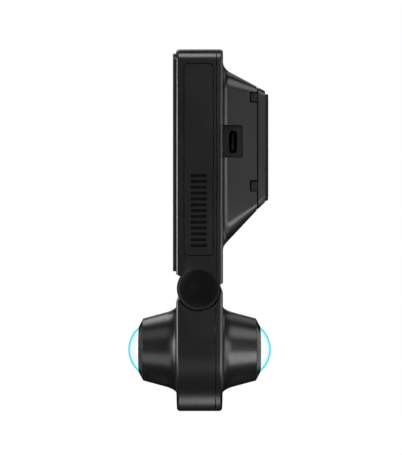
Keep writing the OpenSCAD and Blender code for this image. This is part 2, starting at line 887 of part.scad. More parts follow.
module side_panel(side) {
    y0 = body_half - recess_d + touch;
    y1 = y0 + panel_t;
    mirror([0, side < 0 ? 1 : 0, 0]) difference() {
        panel_prism(y0, y1, 0);
        for (i = [0:slot_n - 1])
            pill_x(y0 - 1, y1 + 1, panel_x, slot_z(i), slot_l, slot_w);
    }
}

module side_panel_near() {
    color([0.14, 0.14, 0.15]) side_panel(-1);
}

module side_panel_far() {
    color([0.14, 0.14, 0.15]) difference() {
        side_panel(1);
        pill_z(body_half - 2, body_half + 1, panel_x, button_z, button_w + 2 * slip,
            button_h + 2 * slip);
        card_slot(body_half - 2, body_half + 1);
    }
}

// Outline of the port block, square at the seam and round at its road corners, grown by play
module port_prism(y0, y1, play) {
    right = port_x + port_d / 2 + play;
    r = port_corner + play;
    across(y0, y1) {
        translate([port_x - port_d / 2, port_low - play])
            square([port_d + play - r, port_h + 2 * play]);
        translate([port_x, port_low - play + r])
            square([right - port_x, port_h + 2 * play - 2 * r]);
        for (z = [port_low - play + r, port_high + play - r])
            translate([right - r, z]) circle(r);
    }
}

// Block that frames the charging port, let into the wedge's near side and the cover's edge
module port_block() {
    skin = 1.2;
    half_x = port_d / 2;
    color([0.11, 0.11, 0.12]) difference() {
        union() {
            intersection() {
                body_form();
                span([port_x - half_x, -far, port_low], [back_x + 1, -port_out + 1, port_high]);
            }
            port_prism(-port_out, -port_out + port_depth, 0);
        }
        span([port_x - half_x + skin, -port_out + 1.5, port_low + skin],
            [port_x + half_x - skin, 0, port_high - skin]);
        pill_z(-port_out - 1, -port_out + 2, usb_x, usb_z, usb_h + 2 * usb_play,
            usb_w + 2 * usb_play);
        round_block(-port_out - 1, -port_out + mouth_d, usb_x, usb_z, usb_h + 2 * usb_play,
            usb_w + 2 * usb_play, mouth_r);
    }
}

module usb_shell() {
    color([0.7, 0.7, 0.72]) difference() {
        pill_z(-port_out + shell_in, -port_out + shell_in + shell_l, usb_x, usb_z, usb_h, usb_w);
        pill_z(-port_out - 1, -port_out + shell_in + shell_l - 0.8, usb_x, usb_z,
            usb_h - 2 * usb_wall, usb_w - 2 * usb_wall);
    }
}

module usb_tongue() {
    color([0.05, 0.05, 0.05])
        span([usb_x - 0.35, -port_out + shell_in + 0.6, usb_z - 3.3],
            [usb_x + 0.35, -port_out + shell_in + shell_l - 0.8, usb_z + 3.3]);
}

module power_board() {
    color([0.1, 0.3, 0.16]) difference() {
        union() {
            span([power_board_x, -power_board_half + 3.5, -9],
                [power_board_x + power_board_t, power_board_half, 9]);
            span([power_board_x, -port_out + 1.7, port_low + 1.4],
                [power_board_x + power_board_t, 0, port_high - 1.4]);
            rod_x(power_board_x, power_board_x + power_board_t, power_posts[0][0],
                power_posts[0][1], post_r + 0.4);
        }
        for (p = power_posts)
            rod_x(power_board_x - 1, power_board_x + 2, p[0], p[1], pilot_r + 0.1);
    }
}

module power_board_screws() {
    color([0.75, 0.75, 0.77])
        for (p = power_posts)
            small_screw(power_board_x, p[0], p[1], power_screw_l, -1);
}

// Pan-head screw whose head stands on the plane x; its shank runs along dir
module small_screw(x, y, z, length, dir) {
    translate([x, y, z]) rotate([0, dir < 0 ? 90 : -90, 0]) {
        cylinder(h = length, r = screw_r);
        difference() {
            translate([0, 0, -head_t]) cylinder(h = head_t, r = head_r - 0.1);
            for (a = [0, 90])
                rotate(a) translate([-1.1, -0.2, -head_t - 1]) cube([2.2, 0.4, 1.7]);
        }
    }
}

module case_screws() {
    color([0.2, 0.2, 0.22])
        for (y = [-screw_pitch_y / 2, screw_pitch_y / 2], z = [-screw_down, screw_up])
            small_screw(back_x - 0.7, y, z, case_screw_l, 1);
}

module supercapacitors() {
    color([0.15, 0.2, 0.45])
        for (z = [-1, 1] * (cap_r + 0.5))
            rod_y(-cap_l / 2, cap_l / 2, power_board_x - cap_r, z, cap_r);
}

module gps_antenna() {
    color([0.85, 0.8, 0.7])
        span([wedge_in_x - slip - gps_t, -gps_w / 2, -gps_w / 2],
            [wedge_in_x - slip, gps_w / 2, gps_w / 2]);
}

module hinge_disc(side) {
    seat = body_half - bevel_d - disc_t;
    mirror([0, side < 0 ? 1 : 0, 0])
        rod_y(seat, seat + disc_t, hinge_x, hinge_z, disc_r);
}

module hinge_disc_near() {
    color([0.1, 0.1, 0.11]) hinge_disc(-1);
}

module hinge_disc_far() {
    color([0.1, 0.1, 0.11]) hinge_disc(1);
}

module solid_pin() {
    color([0.7, 0.7, 0.72])
        rod_y(pin_in, body_half - bevel_d - disc_t - touch, hinge_x, hinge_z, pin_r);
}

module hollow_pin() {
    color([0.7, 0.7, 0.72]) difference() {
        rod_y(-flex_y + 0.7, -pin_in, hinge_x, hinge_z, pin_r);
        rod_y(-body_half, 0, hinge_x, hinge_z, passage_r);
    }
}

// Ribbon from the main board down the near barrel and in through the hollow pin
module body_flex() {
    half = flex_w / 2;
    color([0.75, 0.45, 0.15]) {
        span([hinge_x - half, -flex_y - flex_t / 2, hinge_z - flex_t / 2],
            [hinge_x + half, -flex_y + flex_t / 2, sink_low + 5]);
        span([hinge_x - half, -flex_y + flex_t / 2, hinge_z - flex_t / 2],
            [hinge_x + half, -flex_in - 0.3, hinge_z + flex_t / 2]);
    }
}

module module_flex() {
    color([0.75, 0.45, 0.15])
        span([module_x - sensor_board_t / 2 - flex_t - touch, -flex_in, sensor_board_top - 4],
            [module_x - sensor_board_t / 2 - touch, -flex_in + flex_w, hinge_z + 1.2]);
}

// Outer form of the lens module without its turrets
module module_form() {
    low_x = module_x - module_half;
    high_x = module_x + module_half;
    intersection() {
        turned(0, 0, lens_z) edge_section(body_half, low_x, high_x);
        span([low_x - 1, -far, -far], [high_x + 1, far, lens_z + 1]);
    }
    intersection() {
        translate([0, 0, lens_z])
            linear_extrude(hinge_z + 1 - lens_z)
            plan(body_half, low_x, high_x);
        across(-body_half - 1, body_half + 1)
            polygon([
                [low_x - 1, lens_z - 1],
                [low_x - 1, hinge_z - module_lip_front - 1.7],
                [low_x + 0.7, hinge_z - module_lip_front],
                [hinge_x, hinge_z - module_lip_front],
                [hinge_x, hinge_z - module_lip_back],
                [hinge_x + ear_r + barrel_gap + shoulder_w, hinge_z - module_lip_back],
                [high_x, hinge_z - module_lip_back - lip_chamfer],
                [high_x + 1, hinge_z - module_lip_back - lip_chamfer],
                [high_x + 1, lens_z - 1]
            ]);
    }
}

// Turret profile as radius and distance from the module's middle: a small fillet on the face, a
// long flare and a straight taper
module turret_profile() {
    flare_slope = 32;
    foot_rise = turret_foot_r * (1 - sin(flare_slope));
    flare_rise = turret_flare_r * (sin(flare_slope) - sin(turret_slope));
    taper_foot = turret_r + (turret_l - foot_rise - flare_rise) * tan(turret_slope);
    flare_foot = taper_foot + turret_flare_r * (cos(turret_slope) - cos(flare_slope));
    foot_edge = flare_foot + turret_foot_r * cos(flare_slope);
    steps = 6;
    polygon(concat(
        [[0, module_half - 1], [foot_edge, module_half - 1], [foot_edge, module_half]],
        [for (i = [1:steps])
            let (a = 90 + (flare_slope - 90) * i / steps)
            [foot_edge - turret_foot_r * cos(a), module_half + turret_foot_r * (1 - sin(a))]],
        [for (i = [1:steps])
            let (a = flare_slope + (turret_slope - flare_slope) * i / steps)
            [taper_foot + turret_flare_r * (cos(turret_slope) - cos(a)),
                module_half + foot_rise + turret_flare_r * (sin(flare_slope) - sin(a))]],
        [[turret_r, turret_end], [0, turret_end]]
    ));
}

// Hollow of a turret: the space round the barrel, the shoulder and the ring's bore
module turret_hollow() {
    taper = tan(turret_slope);
    back = module_half - wall - 1;
    shoulder_back = flange_back - slip - shoulder_t;
    polygon([
        [0, back],
        [turret_r + turret_l * taper - wall, back],
        [turret_r + turret_l * taper - wall, module_half - wall],
        [turret_r + (turret_end - shoulder_back) * taper - wall, shoulder_back],
        [barrel_r + slip, shoulder_back],
        [barrel_r + slip, flange_back - slip],
        [bore_r, flange_back - slip],
        [bore_r, turret_end + 1],
        [0, turret_end + 1]
    ]);
}

module knuckle_cuts() {
    for (side = [-1, 1])
        mirror([0, side < 0 ? 1 : 0, 0]) {
            rod_y(knuckle_half, body_half + 1, hinge_x, hinge_z, ear_r + barrel_gap);
            rod_y(body_half - relief_depth, body_half + 1, hinge_x, hinge_z,
                ear_r + barrel_gap + barrel_relief);
            rod_y(bush_in, knuckle_half + 1, hinge_x, hinge_z, bush_r);
            rod_y(knuckle_half - washer_t, knuckle_half + 1, hinge_x, hinge_z, disc_r - 0.2);
        }
    rod_y(-pin_in, pin_in, hinge_x, hinge_z, pin_r - 0.4);
    span([module_x - sensor_board_t / 2 - flex_t - 0.6, -flex_in - 0.7, hollow_top - 2],
        [module_x - sensor_board_t / 2 + 0.5, -flex_in + flex_w + 0.7, hinge_z]);
}

module module_hollow(x0, x1) {
    intersection() {
        rod_x(x0, x1, 0, lens_z, body_half - wall);
        span([x0 - 1, -far, -far], [x1 + 1, far, hollow_top]);
    }
}

// Four screw places in the lens module, the upper two just under the hollow's top
module at_bosses() {
    for (side = [-1, 1], place = [[boss_side, boss_up], [boss_low, -boss_low]])
        translate([0, side * place[0], lens_z + place[1]]) children();
}

module cabin_housing() {
    in_x = module_x - module_half + wall;
    seam = module_x + module_seam - seam_gap / 2;
    color([0.13, 0.13, 0.14]) difference() {
        union() {
            intersection() {
                module_form();
                span([front_x - 5, -far, -far], [seam, far, far]);
            }
            rod_y(-knuckle_half, knuckle_half, hinge_x, hinge_z, ear_r);
            turned(module_x, 0, lens_z, true) turret_profile();
        }
        difference() {
            module_hollow(in_x, seam + 1);
            at_bosses() rod_x(in_x - 1, module_x - sensor_board_t / 2, 0, 0, boss_r);
        }
        at_bosses() rod_x(module_x - 5.5, module_x, 0, 0, pilot_r);
        turned(module_x, 0, lens_z, true) turret_hollow();
        knuckle_cuts();
    }
}

module road_housing() {
    seam = module_x + module_seam + seam_gap / 2;
    lip = 1;
    out_r = body_half - wall - slip;
    color([0.15, 0.15, 0.16]) difference() {
        union() {
            intersection() {
                module_form();
                span([seam, -far, -far], [far, far, far]);
            }
            difference() {
                module_hollow(seam - 1.4, seam + 0.5);
                module_hollow_lip(seam - 2, seam + 1, out_r - lip);
            }
            turned(module_x, 0, lens_z) turret_profile();
        }
        difference() {
            rod_x(seam - 3, seam + 2, 0, lens_z, far);
            rod_x(seam - 4, seam + 3, 0, lens_z, out_r);
            span([seam, -far, -far], [far, far, far]);
        }
        module_hollow_lip(seam - 2, module_x + module_half - wall, out_r - lip);
        turned(module_x, 0, lens_z) turret_hollow();
        rod_y(-far, far, hinge_x, hinge_z, ear_r + slip);
        knuckle_cuts();
    }
}

// The hollow inside the road shell's lip
module module_hollow_lip(x0, x1, r) {
    intersection() {
        rod_x(x0, x1, 0, lens_z, r);
        span([x0 - 1, -far, -far], [x1 + 1, far, hollow_top - 1.2]);
    }
}

// Bevelled ring with its spigot, as radius and distance
module ring_profile() {
    edge = turret_r - 0.1;
    polygon([
        [dome_edge_r + slip, flange_front + slip],
        [bore_r - touch, flange_front + slip],
        [bore_r - touch, turret_end],
        [edge, turret_end],
        [edge, turret_end + 0.15],
        [(edge + dome_r) / 2 + 0.4, turret_end + 0.44 * ring_l],
        [dome_r + 0.25, ring_front],
        [dome_r + 0.1, ring_front],
        [dome_edge_r + slip, ring_front - 1.35]
    ]);
}

module lens_ring(mirrored) {
    turned(module_x, 0, lens_z, mirrored) ring_profile();
}

module cabin_ring() {
    color([0.2, 0.2, 0.21]) lens_ring(true);
}

module road_ring() {
    color([0.24, 0.22, 0.22]) lens_ring(false);
}

module lens_dome(dir) {
    centre = module_x + dir * dome_centre;
    base = flange_front + seal_t;
    difference() {
        translate([centre, 0, lens_z]) sphere(dome_sphere_r);
        translate([centre, 0, lens_z]) sphere(dome_sphere_r - dome_t);
        span([dir > 0 ? -far : module_x - base, -far, -far],
            [dir > 0 ? module_x + base : far, far, far]);
        difference() {
            rod_x(centre - 30, centre + 30, 0, lens_z, 30);
            rod_x(centre - 31, centre + 31, 0, lens_z, dome_edge_r);
        }
    }
}

module cabin_dome() {
    color([0.7, 0.9, 0.95]) lens_dome(-1);
}

module road_dome() {
    color([0.7, 0.9, 0.95]) lens_dome(1);
}

// Barrel that stands on the sensor board and carries the lenses
module lens_barrel(mirrored) {
    base = sensor_board_t / 2 + touch;
    turned(module_x, 0, lens_z, mirrored)
        polygon([
            [barrel_bore, base],
            [barrel_r, base],
            [barrel_r, flange_back],
            [bore_r - slip, flange_back],
            [bore_r - slip, flange_front],
            [lens_seat_r, flange_front],
            [lens_seat_r, flange_front - lens_seat_d],
            [barrel_bore, flange_front - lens_seat_d]
        ]);
}

module cabin_barrel() {
    color([0.08, 0.08, 0.08]) lens_barrel(true);
}

module road_barrel() {
    color([0.08, 0.08, 0.08]) lens_barrel(false);
}

module lens_seal(mirrored) {
    turned(module_x, 0, lens_z, mirrored)
        translate([dome_edge_r - 0.65, flange_front])
        square([0.6, seal_t]);
}

module cabin_seal() {
    color([0.05, 0.05, 0.05]) lens_seal(true);
}

module road_seal() {
    color([0.05, 0.05, 0.05]) lens_seal(false);
}

// Meniscus under the dome, seated in the barrel's front step
module inner_lens(mirrored) {
    back = flange_front - lens_seat_d;
    rim = lens_seat_r - slip;
    steps = 8;
    turned(module_x, 0, lens_z, mirrored)
        polygon(concat(
            [[0, back + 0.6], [barrel_bore - 0.6, back], [rim, back], [rim, back + 2]],
            [for (i = [1:steps])
                let (a = 90 * i / steps)
                [(rim - 0.7) * cos(a), back + 2 + 1.6 * sin(a)]]
        ));
}

module cabin_inner_lens() {
    color([0.55, 0.65, 0.8]) inner_lens(true);
}

module road_inner_lens() {
    color([0.55, 0.65, 0.8]) inner_lens(false);
}

// Two rear elements in the barrel's bore
module rear_lenses(mirrored) {
    turned(module_x, 0, lens_z, mirrored)
        for (i = [0, 1])
            translate([0, rear_lens_x + i * rear_lens_step])
                square([barrel_bore - touch, rear_lens_t]);
}

module cabin_rear_lenses() {
    color([0.6, 0.7, 0.85]) rear_lenses(true);
}

module road_rear_lenses() {
    color([0.6, 0.7, 0.85]) rear_lenses(false);
}

module image_sensor(dir) {
    near_x = module_x + dir * sensor_board_t / 2;
    far_x = near_x + dir * sensor_t;
    span([min(near_x, far_x), -sensor_w / 2, lens_z - sensor_w / 2],
        [max(near_x, far_x), sensor_w / 2, lens_z + sensor_w / 2]);
}

module cabin_sensor() {
    color([0.2, 0.25, 0.3]) image_sensor(-1);
}

module road_sensor() {
    color([0.2, 0.25, 0.3]) image_sensor(1);
}

module sensor_board() {
    x0 = module_x - sensor_board_t / 2;
    color([0.1, 0.3, 0.16]) difference() {
        intersection() {
            rod_x(x0, x0 + sensor_board_t, 0, lens_z, sensor_board_r);
            span([x0 - 1, -far, -far], [x0 + 2, far, sensor_board_top]);
        }
        at_bosses() rod_x(x0 - 1, x0 + 3, 0, 0, pilot_r + 0.1);
    }
}

module sensor_board_screws() {
    color([0.75, 0.75, 0.77])
        at_bosses() small_screw(module_x + sensor_board_t / 2, 0, 0, board_screw_l, 1);
}

module hinge_bushes() {
    color([0.72, 0.55, 0.3])
        for (side = [-1, 1])
            mirror([0, side < 0 ? 1 : 0, 0]) difference() {
                rod_y(bush_in + touch, knuckle_half - washer_t - touch, hinge_x, hinge_z,
                    bush_r - touch);
                rod_y(0, body_half, hinge_x, hinge_z, pin_r + pin_play);
            }
}

module friction_washers() {
    color([0.75, 0.76, 0.78])
        for (side = [-1, 1])
            mirror([0, side < 0 ? 1 : 0, 0]) difference() {
                rod_y(knuckle_half - washer_t, knuckle_half + 0.08, hinge_x, hinge_z,
                    disc_r - 0.4);
                rod_y(0, body_half, hinge_x, hinge_z, pin_r + pin_play);
            }
}

mount_plate();
adhesive_pad();
bracket_magnets();
front_housing();
back_cover();
display_glass();
display_panel();
mid_frame();
side_panel_near();
side_panel_far();
dust_screens();
port_block();
usb_shell();
usb_tongue();
main_board();
processor();
memory_chips();
wifi_module();
thermal_pad();
heat_sink();
card_socket();
button_switch();
speaker();
microphone();
power_board();
supercapacitors();
gps_antenna();
camera_magnets();
case_screws();
power_board_screws();
hinge_disc_near();
hinge_disc_far();
hollow_pin();
solid_pin();
body_flex();
cabin_housing();
road_housing();
cabin_ring();
road_ring();
cabin_dome();
road_dome();
cabin_barrel();
road_barrel();
cabin_seal();
road_seal();
cabin_inner_lens();
road_inner_lens();
cabin_rear_lenses();
road_rear_lenses();
cabin_sensor();
road_sensor();
sensor_board();
sensor_board_screws();
hinge_bushes();
friction_washers();
module_flex();
power_button();
memory_card();
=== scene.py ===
import json
import math

import bmesh
import bpy
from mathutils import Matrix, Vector


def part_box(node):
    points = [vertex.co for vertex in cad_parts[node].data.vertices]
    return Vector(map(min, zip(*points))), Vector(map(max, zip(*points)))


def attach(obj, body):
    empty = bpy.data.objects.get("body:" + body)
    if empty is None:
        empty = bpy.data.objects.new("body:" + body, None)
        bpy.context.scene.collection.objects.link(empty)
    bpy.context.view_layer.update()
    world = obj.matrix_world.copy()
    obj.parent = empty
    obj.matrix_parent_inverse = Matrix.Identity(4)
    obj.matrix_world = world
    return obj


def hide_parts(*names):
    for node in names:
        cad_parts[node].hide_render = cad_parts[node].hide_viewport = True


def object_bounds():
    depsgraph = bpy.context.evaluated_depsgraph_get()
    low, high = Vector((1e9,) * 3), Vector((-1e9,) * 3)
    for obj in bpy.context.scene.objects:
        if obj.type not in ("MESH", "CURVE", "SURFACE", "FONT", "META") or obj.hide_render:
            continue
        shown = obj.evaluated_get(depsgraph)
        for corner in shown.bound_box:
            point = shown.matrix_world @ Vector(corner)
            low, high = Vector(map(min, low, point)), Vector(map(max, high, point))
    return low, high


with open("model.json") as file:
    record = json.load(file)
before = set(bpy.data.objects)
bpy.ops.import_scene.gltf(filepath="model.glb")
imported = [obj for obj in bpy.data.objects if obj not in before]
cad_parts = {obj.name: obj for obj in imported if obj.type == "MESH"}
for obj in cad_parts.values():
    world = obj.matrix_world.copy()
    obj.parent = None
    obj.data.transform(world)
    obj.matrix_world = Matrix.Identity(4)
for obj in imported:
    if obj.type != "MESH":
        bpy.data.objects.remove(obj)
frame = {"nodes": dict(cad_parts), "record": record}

# Looks of a dash cam with a tilting two-sided lens module on an adhesive bracket.
# Every length in the dictionaries is in millimetres, and mm turns it to metres.
mm = 0.001
nodes = frame["nodes"]
cadBox = [list(corner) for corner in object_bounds()]
print("frame loaded:", len(nodes), "nodes")


# the camera looks level and square at the near side, as in the photograph
photoView = {
    "aim": (-26.23, 0, -31.4),   # the middle of the photograph, in the part's own frame
    "distance": 600,             # the near side looks 4 % larger than the middle plane
    "widthAtAim": 160.8,         # millimetres that the frame spans at the aim
    "sensor": 36,
    "clip": (10, 20000),         # nothing nearer or farther is drawn
}
cameraData = bpy.data.cameras.new("photoCamera")
cameraData.sensor_fit = "HORIZONTAL"
cameraData.sensor_width = photoView["sensor"]
cameraData.lens = photoView["sensor"] * photoView["distance"] / photoView["widthAtAim"]
cameraData.clip_start, cameraData.clip_end = (end * mm for end in photoView["clip"])
camera = bpy.data.objects.new("photoCamera", cameraData)
camera.location = (Vector(photoView["aim"]) - Vector((0, photoView["distance"], 0))) * mm
camera.rotation_euler = (math.radians(90), 0, 0)
bpy.context.scene.collection.objects.link(camera)
bpy.context.scene.camera = camera
bpy.context.scene.view_settings.view_transform = "Standard"
print("camera placed")


def linear(hexColour):
    # an sRGB hex value as the linear colour that shaders take
    channels = [int(hexColour[i:i + 2], 16) / 255 for i in (1, 3, 5)]
    return [c / 12.92 if c <= 0.04045 else ((c + 0.055) / 1.055) ** 2.4 for c in channels] + [1]


def add(tree, kind, settings=None, links=None):
    # one shader node: settings are its sockets' values or its options, links feed its sockets
    node = tree.nodes.new(kind)
    for name, value in (settings or {}).items():
        if isinstance(name, int) or name in node.inputs:
            node.inputs[name].default_value = value
        else:
            setattr(node, name, value)
    for name, source in (links or {}).items():
        tree.links.new(source, node.inputs[name])
    return node


def blank(name):
    material = bpy.data.materials.new(name)
    material.use_nodes = True
    material.node_tree.nodes.clear()
    return material, material.node_tree


def finished(tree, shader):
    add(tree, "ShaderNodeOutputMaterial", links={"Surface": shader})


def meshFrom(bm, name):
    mesh = bpy.data.meshes.new(name)
    bm.to_mesh(mesh)
    bm.free()
    return mesh


def shaded(mesh, crease):
    # smooth, apart from the edges that turn by more than crease, in degrees
    mesh.shade_smooth()
    mesh.set_sharp_from_angle(angle=math.radians(crease))
    return mesh


studio = {
    "centre": (-26, 0, -36),
    "floorDrop": 215,            # below the part, so that its soft shadow stays out of the frame
    "floorRadius": 1250,
    "floorFade": (0.3, 0.95),    # the shares of that radius where it runs out into white
    "fill": 0.42,                # how much the room itself lights the part
    # each lamp: turn from the camera towards +X and rise, both in degrees, distance, width,
    # height, level
    "lamps": {
        "leftSide": (-80, 6, 620, 340, 170, 17.0),
        "leftLow": (-80, -11, 620, 340, 170, 9.0),
        "leftBack": (-130, 4, 620, 300, 620, 0.3),
        "rightFront": (54, 7, 620, 220, 190, 4.2),
        "rightLow": (54, -13, 620, 220, 230, 2.1),
        "rightSide": (76, 0, 620, 240, 380, 2.7),
        "rightBack": (126, 2, 620, 300, 560, 0.9),
        "frontRight": (18, 3, 620, 130, 480, 1.2),
        "topFront": (0, 50, 620, 260, 340, 7.2),
        "topFrontLeft": (-46, 48, 620, 360, 300, 1.0),
        "topFrontRight": (46, 49, 620, 360, 320, 3.1),
        "topBack": (180, 50, 620, 300, 300, 1.2),
        "topBackLeft": (-150, 50, 620, 300, 300, 3.3),
        "topBackRight": (150, 50, 620, 300, 300, 0.8),
        "lowFront": (0, -32, 330, 110, 110, 0.4),
        "lowFrontLeft": (-38, -30, 330, 170, 160, 2.2),
        "lowFrontRight": (36, -27, 330, 170, 170, 6.0),
        "lowRight": (84, -30, 420, 180, 180, 1.8),
        "lowBack": (180, -82, 220, 90, 60, 2.4),
    },
    # each flag: its middle, its width and height, and the way it faces
    "flags": {
        "flagBehindCamera": ((-26, -1100, 0), 2200, 2400, "Y"),
        "flagCabinSide": ((-1126, 0, 0), 2200, 2400, "X"),
        "flagRoadSide": ((1074, 0, 0), 2200, 2400, "X"),
        "flagAbove": ((-26, 0, 1000), 2200, 2200, "Z"),
        "flagBelow": ((-26, 0, -300), 2200, 2200, "Z"),
        "flagBackLeft": ((-676, 1100, 0), 840, 2400, "Y"),
        "flagBackRight": ((624, 1100, 0), 840, 2400, "Y"),
        "flagBackHigh": ((-26, 1100, 740), 460, 940, "Y"),
        "flagBackLow": ((-26, 1100, -740), 460, 900, "Y"),
    },
}


def softbox(name, turn, rise, distance, width, height, level):
    turn, rise = math.radians(turn), math.radians(rise)
    away = Vector((math.sin(turn) * math.cos(rise), -math.cos(turn) * math.cos(rise),
                   math.sin(rise)))
    lamp = bpy.data.lights.new(name, "AREA")
    lamp.shape = "RECTANGLE"
    lamp.size, lamp.size_y = width * mm, height * mm
    lamp.energy = level * math.pi * lamp.size * lamp.size_y   # a level of 1 is as bright as white
    box = bpy.data.objects.new(name, lamp)
    box.location = (Vector(studio["centre"]) + away * distance) * mm
    box.rotation_euler = away.to_track_quat("Z", "Y").to_euler()
    box.visible_camera = False
    bpy.context.scene.collection.objects.link(box)


for name, place in studio["lamps"].items():
    softbox(name, *place)

# the room is white to the camera, through the domes and in reflections, and dimmer as a light
world = bpy.data.worlds.new("studioRoom")
world.use_nodes = True
bpy.context.scene.world = world
room = world.node_tree
room.nodes.clear()
rays = add(room, "ShaderNodeLightPath")
seen = add(room, "ShaderNodeMath", {"operation": "MAXIMUM"},
           {0: rays.outputs["Is Camera Ray"], 1: rays.outputs["Is Transmission Ray"]})
seen = add(room, "ShaderNodeMath", {"operation": "MAXIMUM"},
           {0: seen.outputs[0], 1: rays.outputs["Is Glossy Ray"]})
level = add(room, "ShaderNodeMapRange", {"To Min": studio["fill"], "To Max": 1.0},
            {"Value": seen.outputs[0]})
backing = add(room, "ShaderNodeBackground", {"Color": linear("#ffffff")},
              {"Strength": level.outputs["Result"]})
add(room, "ShaderNodeOutputWorld", links={"Surface": backing.outputs[0]})


def paintedFloor():
    # rolled matt emulsion: an even white, with a nap too low to catch a highlight
    look = {"colour": "#f4f4f2", "shade": "#f0f0ee", "nap": 2.5, "napHeight": 0.02,
            "roughness": 0.9, "ior": 1.45}
    material, tree = blank("rolledEmulsion")
    place = add(tree, "ShaderNodeTexCoord").outputs["Object"]
    nap = add(tree, "ShaderNodeTexNoise", {"Scale": 1 / (look["nap"] * mm), "Detail": 3},
              {"Vector": place})
    bump = add(tree, "ShaderNodeBump", {"Strength": 0.15, "Distance": look["napHeight"] * mm},
               {"Height": nap.outputs["Fac"]})
    tone = add(tree, "ShaderNodeMixRGB",
               {"Color1": linear(look["colour"]), "Color2": linear(look["shade"])},
               {"Fac": nap.outputs["Fac"]})
    paint = add(tree, "ShaderNodeBsdfPrincipled",
                {"Roughness": look["roughness"], "IOR": look["ior"]},
                {"Base Color": tone.outputs[0], "Normal": bump.outputs[0]})
    # for the camera the floor runs out into the white background
    start, end = (share * studio["floorRadius"] * mm for share in studio["floorFade"])
    away = add(tree, "ShaderNodeVectorMath", {"operation": "LENGTH"}, {0: place})
    edge = add(tree, "ShaderNodeMapRange",
               {"interpolation_type": "SMOOTHSTEP", "From Min": start, "From Max": end},
               {"Value": away.outputs["Value"]})
    rays = add(tree, "ShaderNodeLightPath")
    share = add(tree, "ShaderNodeMath", {"operation": "MULTIPLY"},
                {0: edge.outputs["Result"], 1: rays.outputs["Is Camera Ray"]})
    white = add(tree, "ShaderNodeEmission", {"Strength": 1})
    mixed = add(tree, "ShaderNodeMixShader",
                links={0: share.outputs[0], 1: paint.outputs[0], 2: white.outputs[0]})
    finished(tree, mixed.outputs[0])
    return material


def blackFlannel():
    # woven cotton, brushed to a nap: it gives back almost no light
    look = {"colour": "#050505", "paler": "#0c0c0c", "nap": 4}
    material, tree = blank("blackFlannel")
    place = add(tree, "ShaderNodeTexCoord").outputs["Object"]
    nap = add(tree, "ShaderNodeTexNoise", {"Scale": 1 / (look["nap"] * mm), "Detail": 3},
              {"Vector": place})
    tone = add(tree, "ShaderNodeMixRGB",
               {"Color1": linear(look["colour"]), "Color2": linear(look["paler"])},
               {"Fac": nap.outputs["Fac"]})
    cloth = add(tree, "ShaderNodeBsdfDiffuse", {"Roughness": 1}, {"Color": tone.outputs[0]})
    finished(tree, cloth.outputs[0])
    return material


bm = bmesh.new()
bmesh.ops.create_circle(bm, cap_ends=True, segments=96, radius=studio["floorRadius"] * mm)
floor = bpy.data.objects.new("studioFloor", meshFrom(bm, "studioFloor"))
floor.location = (studio["centre"][0] * mm, 0, cadBox[0][2] - studio["floorDrop"] * mm)
floor.data.materials.append(paintedFloor())
bpy.context.scene.collection.objects.link(floor)

# black flags stand round the part, just outside the picture, as when a dark thing is photographed:
# its gloss shows the lamps and the white backdrop between deep blacks; only reflections see them
flannel = blackFlannel()
for name, (centre, width, height, facing) in studio["flags"].items():
    mesh = bpy.data.meshes.new(name)
    x, y = width / 2 * mm, height / 2 * mm
    mesh.from_pydata([(-x, -y, 0), (x, -y, 0), (x, y, 0), (-x, y, 0)], [], [(0, 1, 2, 3)])
    mesh.materials.append(flannel)
    flag = bpy.data.objects.new(name, mesh)
    flag.location = Vector(centre) * mm
    if facing != "Z":
        flag.rotation_euler = (math.radians(90), 0, math.radians(90 if facing == "X" else 0))
    flag.visible_camera = flag.visible_diffuse = False
    flag.visible_transmission = flag.visible_shadow = False
    bpy.context.scene.collection.objects.link(flag)
print("studio lit")


def moulded(name, look):
    # plastic moulded in a spark-eroded tool: an even satin black that pales along worn edges
    material, tree = blank(name)
    place = add(tree, "ShaderNodeTexCoord").outputs["Object"]
    grain = add(tree, "ShaderNodeTexNoise",
                {"Scale": 1 / (look["grain"] * mm), "Detail": 2, "Roughness": 0.6},
                {"Vector": place})
    drift = add(tree, "ShaderNodeTexNoise", {"Scale": 1 / (look["drift"] * mm), "Detail": 3},
                {"Vector": place})
    rounded = add(tree, "ShaderNodeBevel", {"samples": 6, "Radius": look["edge"] * mm})
    bump = add(tree, "ShaderNodeBump",
               {"Strength": look["grainDepth"], "Distance": look["grainHeight"] * mm},
               {"Height": grain.outputs["Fac"], "Normal": rounded.outputs[0]})
    facing = add(tree, "ShaderNodeVectorMath", {"operation": "DOT_PRODUCT"},
                 {0: rounded.outputs[0],
                  1: add(tree, "ShaderNodeNewGeometry").outputs["Normal"]})
    worn = add(tree, "ShaderNodeMapRange",
               {"From Min": look["wornFrom"], "From Max": look["wornTo"], "To Min": 0,
                "To Max": look["wear"]},
               {"Value": facing.outputs["Value"]})
    tone = add(tree, "ShaderNodeMixRGB",
               {"Color1": linear(look["colour"]), "Color2": linear(look["paler"])},
               {"Fac": drift.outputs["Fac"]})
    tone = add(tree, "ShaderNodeMixRGB", {"Color2": linear(look["edgeColour"])},
               {"Fac": worn.outputs[0], "Color1": tone.outputs[0]})
    gloss = add(tree, "ShaderNodeMapRange",
                {"From Min": 0.3, "From Max": 0.7, "To Min": look["roughness"] - look["uneven"],
                 "To Max": look["roughness"] + look["uneven"]}, {"Value": drift.outputs["Fac"]})
    plastic = add(tree, "ShaderNodeBsdfPrincipled",
                  {"IOR": look["ior"], "Specular IOR Level": look["specular"]},
                  {"Base Color": tone.outputs[0], "Roughness": gloss.outputs[0],
                   "Normal": bump.outputs[0]})
    finished(tree, plastic.outputs[0])
    return material


